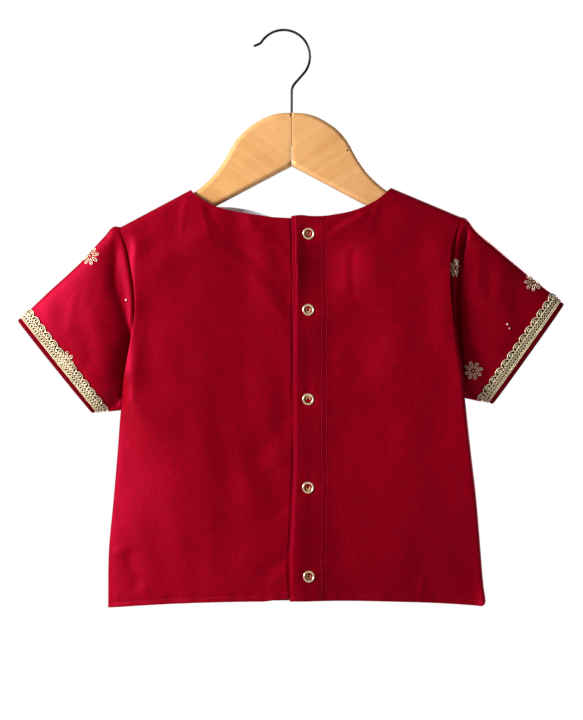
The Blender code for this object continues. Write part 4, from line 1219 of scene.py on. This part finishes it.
sleeves, sleeve_grids = {}, {}
for side, word in SIDES:
    w = around()[None, :]
    end = 1 - (BINDING_WIDTH + SEAM_GAP) / sleeve_length(side, w)
    near = np.linspace(0, 0.2, 24)
    v = np.concatenate([near, np.linspace(0.2, 1, 46)[1:]])[:, None] * end
    grid = ring(side, v, w)
    distance = v * sleeve_length(side, w)
    distance = closed_round(distance, distance)[..., None]
    ridge = RIDGE_HEIGHT * np.exp(-(((distance - SEAM_REACH) / RIDGE_HALF) ** 2))
    groove = SEAM_DEPTH[side] * np.clip(1 - distance / SEAM_REACH, 0, 1) ** 1.6
    open_seam = closed_round(w, w)[..., None]
    open_seam = step(open_seam / 0.1) * step((1 - open_seam) / 0.04)
    grid = grid + grid_normals(grid, True, side == LEFT) * (ridge - groove) * open_seam
    at = armhole(side, w[0])[1]
    rise = edge_half(at, side, BACK) - UNDER_EDGE + grid[0, : len(at), 1]
    rise = np.concatenate([np.maximum(rise, 0), np.zeros(len(at) - 2)])
    under = [grid[0] + np.stack([-side * SEAM_UNDER * share + 0 * rise, -rise * climb, 0 * rise], axis=-1)
             for share, climb in ((1.0, 1.0), (0.7, 0.8), (0.35, 0.35))]
    sleeve_grids[side] = np.concatenate([under, grid])
    silk = crimson(f"crimson_silk_{word}_sleeve", GRAIN_TURN[side])
    cloth = shell(sleeve_grids[side], closed=True, flip=side == LEFT)
    sleeve = add_piece(f"sleeve_silk_{word}", [cloth], silk)
    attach(sleeve, "root")
    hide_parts(f"sleeve_{word}")
    sleeves[side] = sleeve

# The cuff bindings
# A narrow strip of darker red folded over the raw edge of each cuff and stitched down, standing a little
# proud of the sleeve.

BINDING_THICKNESS = 1.4
BINDING_PROUD, BINDING_SWELL = 0.4, 0.35

dark = Finish("dark_red_cotton", Specular_IOR_Level=0.1, Specular_Tint=(1.0, 0.05, 0.15, 1.0))
threads = dark.noise((1900, 900, 1900), 2.0, 0.6)
colour = dark.tint(threads.between(0.35, 0.65), (0.085, 0.0004, 0.003), (0.18, 0.0008, 0.007))
dark_red = dark.done(threads, 0.12, Base_Color=colour, Roughness=0.62 - 0.1 * threads)

for side, word in SIDES:
    w = around()[None, :]
    across = np.linspace(1, 0, 7)[:, None]
    strip = ring(side, 1 - BINDING_WIDTH * across / sleeve_length(side, w), w)
    proud = BINDING_PROUD + BINDING_SWELL * np.sin(math.pi * across)[..., None]
    strip = strip + grid_normals(strip, True, side == LEFT) * proud
    binding = add_piece(f"cuff_edge_{word}", [shell(strip, BINDING_THICKNESS, True, side == LEFT)], dark_red)
    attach(binding, "root")
    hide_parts(f"cuff_binding_{word}")

# The cuff lace
# A band of pale gold cord ten millimetres wide: two plied cords along its lower side, a third above a braid
# of two crossing cords, and a row of scallops with a curl in each, sewn flat. Under the cords lies a thin
# near-black sheet, painted shadow for the gaps between them.

LACE_FROM = 3.6
LACE_TURNS = 26
CORD_LIFT = 0.62
# height above the lace's foot, which way it is twisted
PLIED_CORDS = ((0.45, 1.0), (1.65, -1.0), (6.2, 1.0))
PLY_PITCH, PLY_SPREAD, PLY_RADIUS = 2.0, 0.3, 0.27
BRAID_AT, BRAID_SWING, BRAID_RADIUS = 4.05, 1.7, 0.31
SCALLOP_AT, SCALLOP_RISE, SCALLOP_RADIUS = 6.9, 3.2, 0.42
CURL_AT, CURL_ACROSS, CURL_UP, CURL_RADIUS = 7.9, 1.5, 0.95, 0.34
GAP_SHADE_LIFT, GAP_SHADE_THICKNESS = 0.22, 0.15


class Cloth:
    """The outer points and directions of a piece of cloth, for sewing things on at any row and column."""

    def __init__(self, points, flip):
        normals = grid_normals(points, True, flip)
        self.points = np.concatenate([points, points[:, :1]], axis=1)
        self.normals = np.concatenate([normals, normals[:, :1]], axis=1)
        self.size = points.shape[1]

    def at(self, row, column, lift):
        """Points lift millimetres above the cloth, and the directions out of it there."""
        row = np.clip(row, 0, len(self.points) - 1.001)
        column = np.mod(column, self.size)
        r, c = row.astype(int), column.astype(int)
        s, t = (row - r)[..., None], (column - c)[..., None]
        found = []
        for grid in (self.points, self.normals):
            low, high = mix(grid[r, c], grid[r, c + 1], t), mix(grid[r + 1, c], grid[r + 1, c + 1], t)
            found.append(mix(low, high, s))
        up = unit(found[1])
        return found[0] + up * np.asarray(lift)[..., None], up


def plied(length, height, phase):
    """One ply of a twisted cord that runs along the band, as (along, height, lift, radius)."""
    along = np.linspace(0, length, int(length / PLY_PITCH * 9), endpoint=False)
    turn = 2 * math.pi * np.round(length / PLY_PITCH) * along / length + phase
    return along, height + PLY_SPREAD * np.cos(turn), CORD_LIFT + PLY_SPREAD * np.sin(turn), PLY_RADIUS


def lace_cords(length):
    """Every cord of a band of lace, each as (along, height, lift, radius)."""
    pitch = length / LACE_TURNS
    cords = []
    for height, twist in PLIED_CORDS:
        for phase in (0, math.pi):
            cords.append(plied(length, LACE_FROM + height, phase * twist))
    along = np.linspace(0, length, LACE_TURNS * 30, endpoint=False)
    turn = 2 * math.pi * along / pitch
    for phase in (0, math.pi):
        looped = along + 0.8 * np.sin(3 * turn + 2 * phase)
        height = LACE_FROM + BRAID_AT + BRAID_SWING * np.sin(1.5 * turn + phase)
        cords.append((looped, height, 0.6 + 0.28 * np.cos(1.5 * turn + phase), BRAID_RADIUS))
    leaning = along - 0.55 * np.sin(turn)
    cords.append((leaning, scallop(along, pitch), np.full_like(along, CORD_LIFT), SCALLOP_RADIUS))
    return cords


def scallop(along, pitch):
    """Height of the scallops' outer cord along the band."""
    return LACE_FROM + SCALLOP_AT + SCALLOP_RISE * np.abs(np.sin(math.pi * along / pitch)) ** 0.62


def lace_curls(length):
    """The small closed curl inside each scallop, as (along, height, lift)."""
    pitch = length / LACE_TURNS
    turn = np.linspace(0, 2 * math.pi, 14, endpoint=False)
    for number in range(LACE_TURNS):
        middle = (number + 0.5) * pitch
        height = LACE_FROM + CURL_AT + CURL_UP * np.sin(turn)
        yield middle + CURL_ACROSS * np.cos(turn), height, np.full_like(turn, 0.7)


gold = Finish("champagne_gold_cord", Metallic=0.45, Specular_IOR_Level=0.6, Sheen_Weight=0.1)
fibre = gold.noise((2600, 2600, 2600), 2.0, 0.6)
age = gold.noise((160, 160, 160), 2.0)
colour = gold.tint(fibre.between(0.34, 0.66), (0.80, 0.63, 0.36), (1.0, 0.93, 0.70))
colour = gold.tint(age.between(0.5, 0.75) * 0.4, colour, (0.58, 0.45, 0.25))
gold_cord = gold.done(fibre, 0.12, Base_Color=colour, Roughness=0.42 - 0.16 * fibre)

# Painted shadow: a near-black sheet under the lace cords, darkening the gaps between them.
gap_shade_finish = Finish("lace_gap_painted_shade", Specular_IOR_Level=0.1, Specular_Tint=(1.0, 0.7, 0.4, 1.0))
gap_shade_mottle = gap_shade_finish.noise((2200, 2200, 2200), 2.0)
colour = gap_shade_finish.tint(gap_shade_mottle.between(0.35, 0.65), (0.035, 0.008, 0.004), (0.12, 0.045, 0.02))
lace_gap_shadow = gap_shade_finish.done(gap_shade_mottle, 0.1, Base_Color=colour, Roughness=0.75 - 0.1 * gap_shade_mottle)

laces, gap_shade_pieces = {}, {}
for side, word in SIDES:
    w = around()[None, :]
    heights = np.arange(0, 17.0)[:, None]
    grid = ring(side, 1 - heights / sleeve_length(side, w), w)[::-1]
    cloth = Cloth(grid, side == LEFT)
    middle = np.concatenate([grid[8], grid[8, :1]])
    reach = reach_along(middle)
    length = reach[-1]

    def on_cuff(along, height, lift):
        column = np.interp(np.mod(along, length), reach, np.arange(len(reach)))
        return cloth.at(16.0 - height, column, lift)

    chunks = []
    for along, height, lift, radius in lace_cords(length):
        points, up = on_cuff(along, height, lift)
        chunks.append(strand(points, radius, up, 5, True))
    for along, height, lift in lace_curls(length):
        points, up = on_cuff(along, height, lift)
        chunks.append(strand(points, CURL_RADIUS, up, 5, True))
    lace = add_piece(f"gold_lace_{word}", chunks, gold_cord)
    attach(lace, "root")
    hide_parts(f"cuff_lace_{word}")
    laces[side] = lace

    # The painted shadow sheet, from the lace's foot up to just under its scallops.
    along = np.linspace(0, length, LACE_TURNS * 8, endpoint=False)[None, :]
    height = mix(LACE_FROM + 0.2, scallop(along, length / LACE_TURNS) - 0.1, np.linspace(1, 0, 7)[:, None])
    points, up = on_cuff(np.broadcast_to(along, height.shape), height, np.full(height.shape, GAP_SHADE_LIFT))
    gap_shade_shell = shell(points, GAP_SHADE_THICKNESS, True, side == LEFT)
    gap_shade_piece = add_piece(f"lace_gap_shadow_{word}", [gap_shade_shell], lace_gap_shadow)
    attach(gap_shade_piece, "root")
    gap_shade_pieces[side] = gap_shade_piece

# The ring snaps
# Five open-ring prong snaps of gilt brass, 9.5 mm across: a domed ring round a dished brass eye, its prongs
# pressed through the placket into a flat stud below, and the cloth showing in the eye's hole. The eye is
# mottled from gilt to dark brown, the dark brown being painted shade of the recess inside the ring.

SNAP_PROFILE = (
    # radius, height
    (4.2, -0.2), (4.55, 0.05), (4.68, 0.45), (4.55, 0.85), (4.25, 1.1), (3.9, 1.15), (3.6, 1.02),
    (3.35, 0.8), (3.15, 0.55), (3.0, 0.3), (2.95, 0.1), (2.9, -0.1), (2.88, -0.3), (2.86, -0.5),
    (2.85, -0.7),
)
SNAP_STEPS = 56
SNAP_LIFT = 0.25
EYE_STEPS = 36
EYE_THICKNESS = 0.2
EYE_PROFILE = (
    (3.05, 0.4), (2.75, 0.1), (2.4, -0.02), (2.0, 0.02), (1.6, 0.1), (1.3, 0.06), (1.1, -0.1),
    (0.95, -0.6),
)
STUD_PROFILE = (
    (2.9, -2.0), (3.4, -1.7), (3.4, -1.0), (2.7, -0.6),
)

brass = Finish("gilt_brass", Metallic=0.85)
scuffs = brass.noise((1500, 1500, 1500), 4.0, 0.65)
colour = brass.tint(scuffs.between(0.4, 0.7), (1.0, 0.86, 0.56), (0.85, 0.66, 0.36))
gilt = brass.done(scuffs, 0.02, Base_Color=colour, Roughness=0.24 + 0.16 * scuffs)

# Brass of the snaps' eyes, mottled dark brown as painted shade of the recess inside each ring.
eye_brass_finish = Finish("brass_and_eye_shade", Metallic=0.35)
eye_shade_mottle = eye_brass_finish.noise((900, 900, 900), 3.0, 0.6)
colour = eye_brass_finish.tint(eye_shade_mottle.between(0.38, 0.62), (0.95, 0.74, 0.38), (0.24, 0.13, 0.04))
brass_and_eye_shade = eye_brass_finish.done(eye_shade_mottle, 0.05, Base_Color=colour, Roughness=0.34 + 0.2 * eye_shade_mottle)


def placket_at(x, z):
    """The overlap's outer point nearest (x, z), and the direction out of it."""
    row = np.argmin(np.abs(right_points[:, 20, 2] - z))
    column = np.argmin(np.abs(right_points[row, :, 0] - x))
    nearby = normals[row - 2 : row + 3, column - 3 : column + 4]
    return right_points[row, column], unit(nearby.mean(axis=(0, 1)))


eyes = []
for number, height in enumerate(SNAP_HEIGHTS, 1):
    seat, outward = placket_at(SNAP_X, height)
    lifted = seat + outward * SNAP_LIFT
    cap_ring = turned(SNAP_PROFILE, SNAP_STEPS, lifted, outward, "joined")
    snap = add_piece(f"ring_snap_{number}", [cap_ring], gilt)
    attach(snap, "root")
    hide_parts(f"snap_cap_{number}")
    stud = add_piece(f"snap_back_{number}", [turned(STUD_PROFILE, EYE_STEPS, seat, outward)], gilt)
    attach(stud, "root")
    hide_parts(f"snap_stud_{number}")
    eyes.append(turned(EYE_PROFILE, EYE_STEPS, lifted, outward, "open"))

snap_eyes = add_piece("snap_eyes", eyes, brass_and_eye_shade)
snap_eyes.modifiers.new("thickness", "SOLIDIFY").thickness = EYE_THICKNESS * MM
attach(snap_eyes, "root")

# The thread flowers and beads
# Small flowers of pale gold thread are worked on the sleeves: eight looped petals round a knot, each with a
# bead near its tip. A few single beads are sewn on between them.

PETALS = 8
PETAL_INNER, PETAL_OUTER, PETAL_HALF = 2.0, 7.2, 1.45
PETAL_LIFT = 0.3
PETAL_BEAD_AT, PETAL_BEAD_RADIUS = 5.5, 0.5
KNOT_LIFT, KNOT_RADIUS = 0.1, 0.6
THREAD_RADIUS = 0.26
BEAD_FLATTENED = 0.7
FLOWERS = {
    # x, z, face, turn in degrees
    LEFT: (
        (-160.6, -180.4, BACK, 10),
        (-180.0, -264.2, BACK, 0),
        (-150.0, -240.0, FRONT, 20),
        (-184.0, -232.0, FRONT, 5),
    ),
    RIGHT: (
        (131.5, -189.5, BACK, 12),
        (192.4, -201.2, BACK, 8),
        (144.9, -270.8, BACK, 4),
        (176.0, -238.0, FRONT, 0),
        (150.0, -205.0, FRONT, 15),
    ),
}
BEADS = {
    # x, z, face, radius
    LEFT: ((-131.0, -215.9, BACK, 0.9), (-128.9, -252.7, BACK, 0.6), (-165.0, -215.0, FRONT, 0.9)),
    RIGHT: ((171.4, -235.2, BACK, 0.9), (173.3, -237.0, BACK, 0.7), (160.0, -228.0, FRONT, 0.9)),
}

peach = Finish("peach_gold_bead", Metallic=0.25, Coat_Weight=0.5, Coat_Roughness=0.1)
grain = peach.noise((900, 900, 900), 2.0)
colour = peach.tint(grain, (0.80, 0.52, 0.34), (0.95, 0.78, 0.60))
bead_gold = peach.done(grain, 0.03, Base_Color=colour, Roughness=0.22 + 0.2 * grain)


class Spot:
    """A flat patch on a sleeve round one point, that carries millimetres across it onto the cloth."""

    def __init__(self, side, x, z, face):
        grid = sleeve_grids[side]
        self.cloth = Cloth(grid, side == LEFT)
        near = np.hypot(grid[..., 0] - x, grid[..., 2] - z) + 1000 * (grid[..., 1] * face < -0.5)
        self.row, self.column = np.unravel_index(np.argmin(near), near.shape)
        rows, columns = grid[:, self.column], np.concatenate([self.cloth.points[self.row, :-1]] * 3)
        self.down, self.round = reach_along(rows), reach_along(columns)
        self.size = self.cloth.size
        ahead = unit(grid[min(self.row + 1, len(grid) - 1), self.column] - grid[self.row - 1, self.column])
        beside = unit(columns[self.size + self.column + 1] - columns[self.size + self.column - 1])
        self.cosine = float(ahead @ beside)
        self.sine = math.sqrt(1 - self.cosine**2)

    def at(self, a, b, lift):
        a, b = np.asarray(a, float), np.asarray(b, float)
        beside = b / self.sine
        along = a - beside * self.cosine
        row = np.interp(self.down[self.row] + along, self.down, np.arange(len(self.down)))
        middle = self.size + self.column
        column = np.interp(self.round[middle] + beside, self.round, np.arange(len(self.round))) - self.size
        return self.cloth.at(row, column, np.broadcast_to(lift, a.shape))


def bead(place, up, radius):
    """A round bead as (points, faces), a little flattened onto the cloth."""
    angles = np.radians([-80, -40, 0, 35, 65, 85])
    profile = [(radius * math.cos(a), radius * BEAD_FLATTENED * (1 + math.sin(a))) for a in angles]
    return turned(profile, 12, place, up)


turn = np.linspace(0, 2 * math.pi, 20, endpoint=False)
for side, word in SIDES:
    threads, beads = [], []
    for x, z, face, lean in FLOWERS[side]:
        spot = Spot(side, x, z, face)
        for petal in range(PETALS):
            angle = math.radians(lean) + 2 * math.pi * petal / PETALS
            out = PETAL_INNER + (PETAL_OUTER - PETAL_INNER) * (1 - np.cos(turn)) / 2
            across = PETAL_HALF * np.sin(turn) * ((1 - np.cos(turn)) / 2) ** 0.6
            a = out * math.cos(angle) - across * math.sin(angle)
            b = out * math.sin(angle) + across * math.cos(angle)
            points, up = spot.at(a, b, PETAL_LIFT)
            threads.append(strand(points, THREAD_RADIUS, up, 6, True))
            head, up = spot.at([PETAL_BEAD_AT * math.cos(angle)], [PETAL_BEAD_AT * math.sin(angle)], 0.0)
            beads.append(bead(head[0], up[0], PETAL_BEAD_RADIUS))
        knot, up = spot.at([0.0], [0.0], KNOT_LIFT)
        threads.append(bead(knot[0], up[0], KNOT_RADIUS))
    for x, z, face, radius in BEADS[side]:
        place, up = Spot(side, x, z, face).at([0.0], [0.0], 0.0)
        beads.append(bead(place[0], up[0], radius))
    flowers = add_piece(f"thread_flowers_{word}", threads, gold_cord)
    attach(flowers, "root")
    sparkle = add_piece(f"beads_{word}", beads, bead_gold)
    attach(sparkle, "root")

# The studio
# A plain pale floor well below the hanging blouse, a soft key light from the upper left, a weak fill, and
# the camera straight in front of the back, at the height of its middle.

FLOOR_Z = -1.0
FLOOR_HALF = 1.5
AMBIENT = 0.14
LAMPS = (
    # name, place, size, power
    ("key", (-0.97, -0.46, 0.06), 0.42, 25.0),
    ("fill", (0.9, -1.5, 0.1), 1.2, 2.4),
    ("rear", (1.0, 1.0, 0.36), 0.6, 30.0),
)
LAMPS_AIM = Vector((0.0, 0.0, -0.28))
VIEW_CENTRE = (0.0063, -0.263)
VIEW_DISTANCE = 1.5
VIEW_HEIGHT = 0.576
SENSOR = 36.0

backdrop = Finish("pale_floor", Roughness=0.9)
tone = backdrop.noise((3, 3, 3), 2.0)
pale = backdrop.done(Base_Color=backdrop.tint(tone, (0.80, 0.80, 0.80), (0.84, 0.84, 0.84)))
mesh = bpy.data.meshes.new("floor")
corners = [(sx * FLOOR_HALF, sy * FLOOR_HALF, FLOOR_Z) for sx, sy in ((-1, -1), (1, -1), (1, 1), (-1, 1))]
mesh.from_pydata(corners, [], [(0, 1, 2, 3)])
mesh.materials.append(pale)
floor = bpy.data.objects.new("floor", mesh)
bpy.context.scene.collection.objects.link(floor)

world = bpy.data.worlds.new("studio")
bpy.context.scene.world = world
world.use_nodes = True
tree = world.node_tree
dim = tree.nodes["Background"]
seen = tree.nodes.new("ShaderNodeBackground")
choose = tree.nodes.new("ShaderNodeMixShader")
rays = tree.nodes.new("ShaderNodeLightPath")
for shader, strength in ((dim, AMBIENT), (seen, 1.0)):
    shader.inputs["Color"].default_value = (1.0, 1.0, 1.0, 1.0)
    shader.inputs["Strength"].default_value = strength
tree.links.new(rays.outputs["Is Camera Ray"], choose.inputs[0])
tree.links.new(dim.outputs[0], choose.inputs[1])
tree.links.new(seen.outputs[0], choose.inputs[2])
tree.links.new(choose.outputs[0], tree.nodes["World Output"].inputs[0])

for name, place, size, power in LAMPS:
    lamp = bpy.data.lights.new(name, "AREA")
    lamp.shape, lamp.size, lamp.energy = "DISK", size, power
    light = bpy.data.objects.new(name, lamp)
    light.location = place
    light.rotation_mode = "QUATERNION"
    light.rotation_quaternion = (LAMPS_AIM - Vector(place)).to_track_quat("-Z", "Y")
    bpy.context.scene.collection.objects.link(light)

lens = bpy.data.cameras.new("camera")
lens.sensor_width = SENSOR
lens.lens = SENSOR * VIEW_DISTANCE / VIEW_HEIGHT
lens.clip_start, lens.clip_end = 0.01, 50.0
camera = bpy.data.objects.new("camera", lens)
camera.location = (VIEW_CENTRE[0], -VIEW_DISTANCE, VIEW_CENTRE[1])
camera.rotation_euler = (math.pi / 2, 0, 0)
bpy.context.scene.collection.objects.link(camera)
bpy.context.scene.camera = camera
bpy.context.scene.view_settings.view_transform = "Standard"
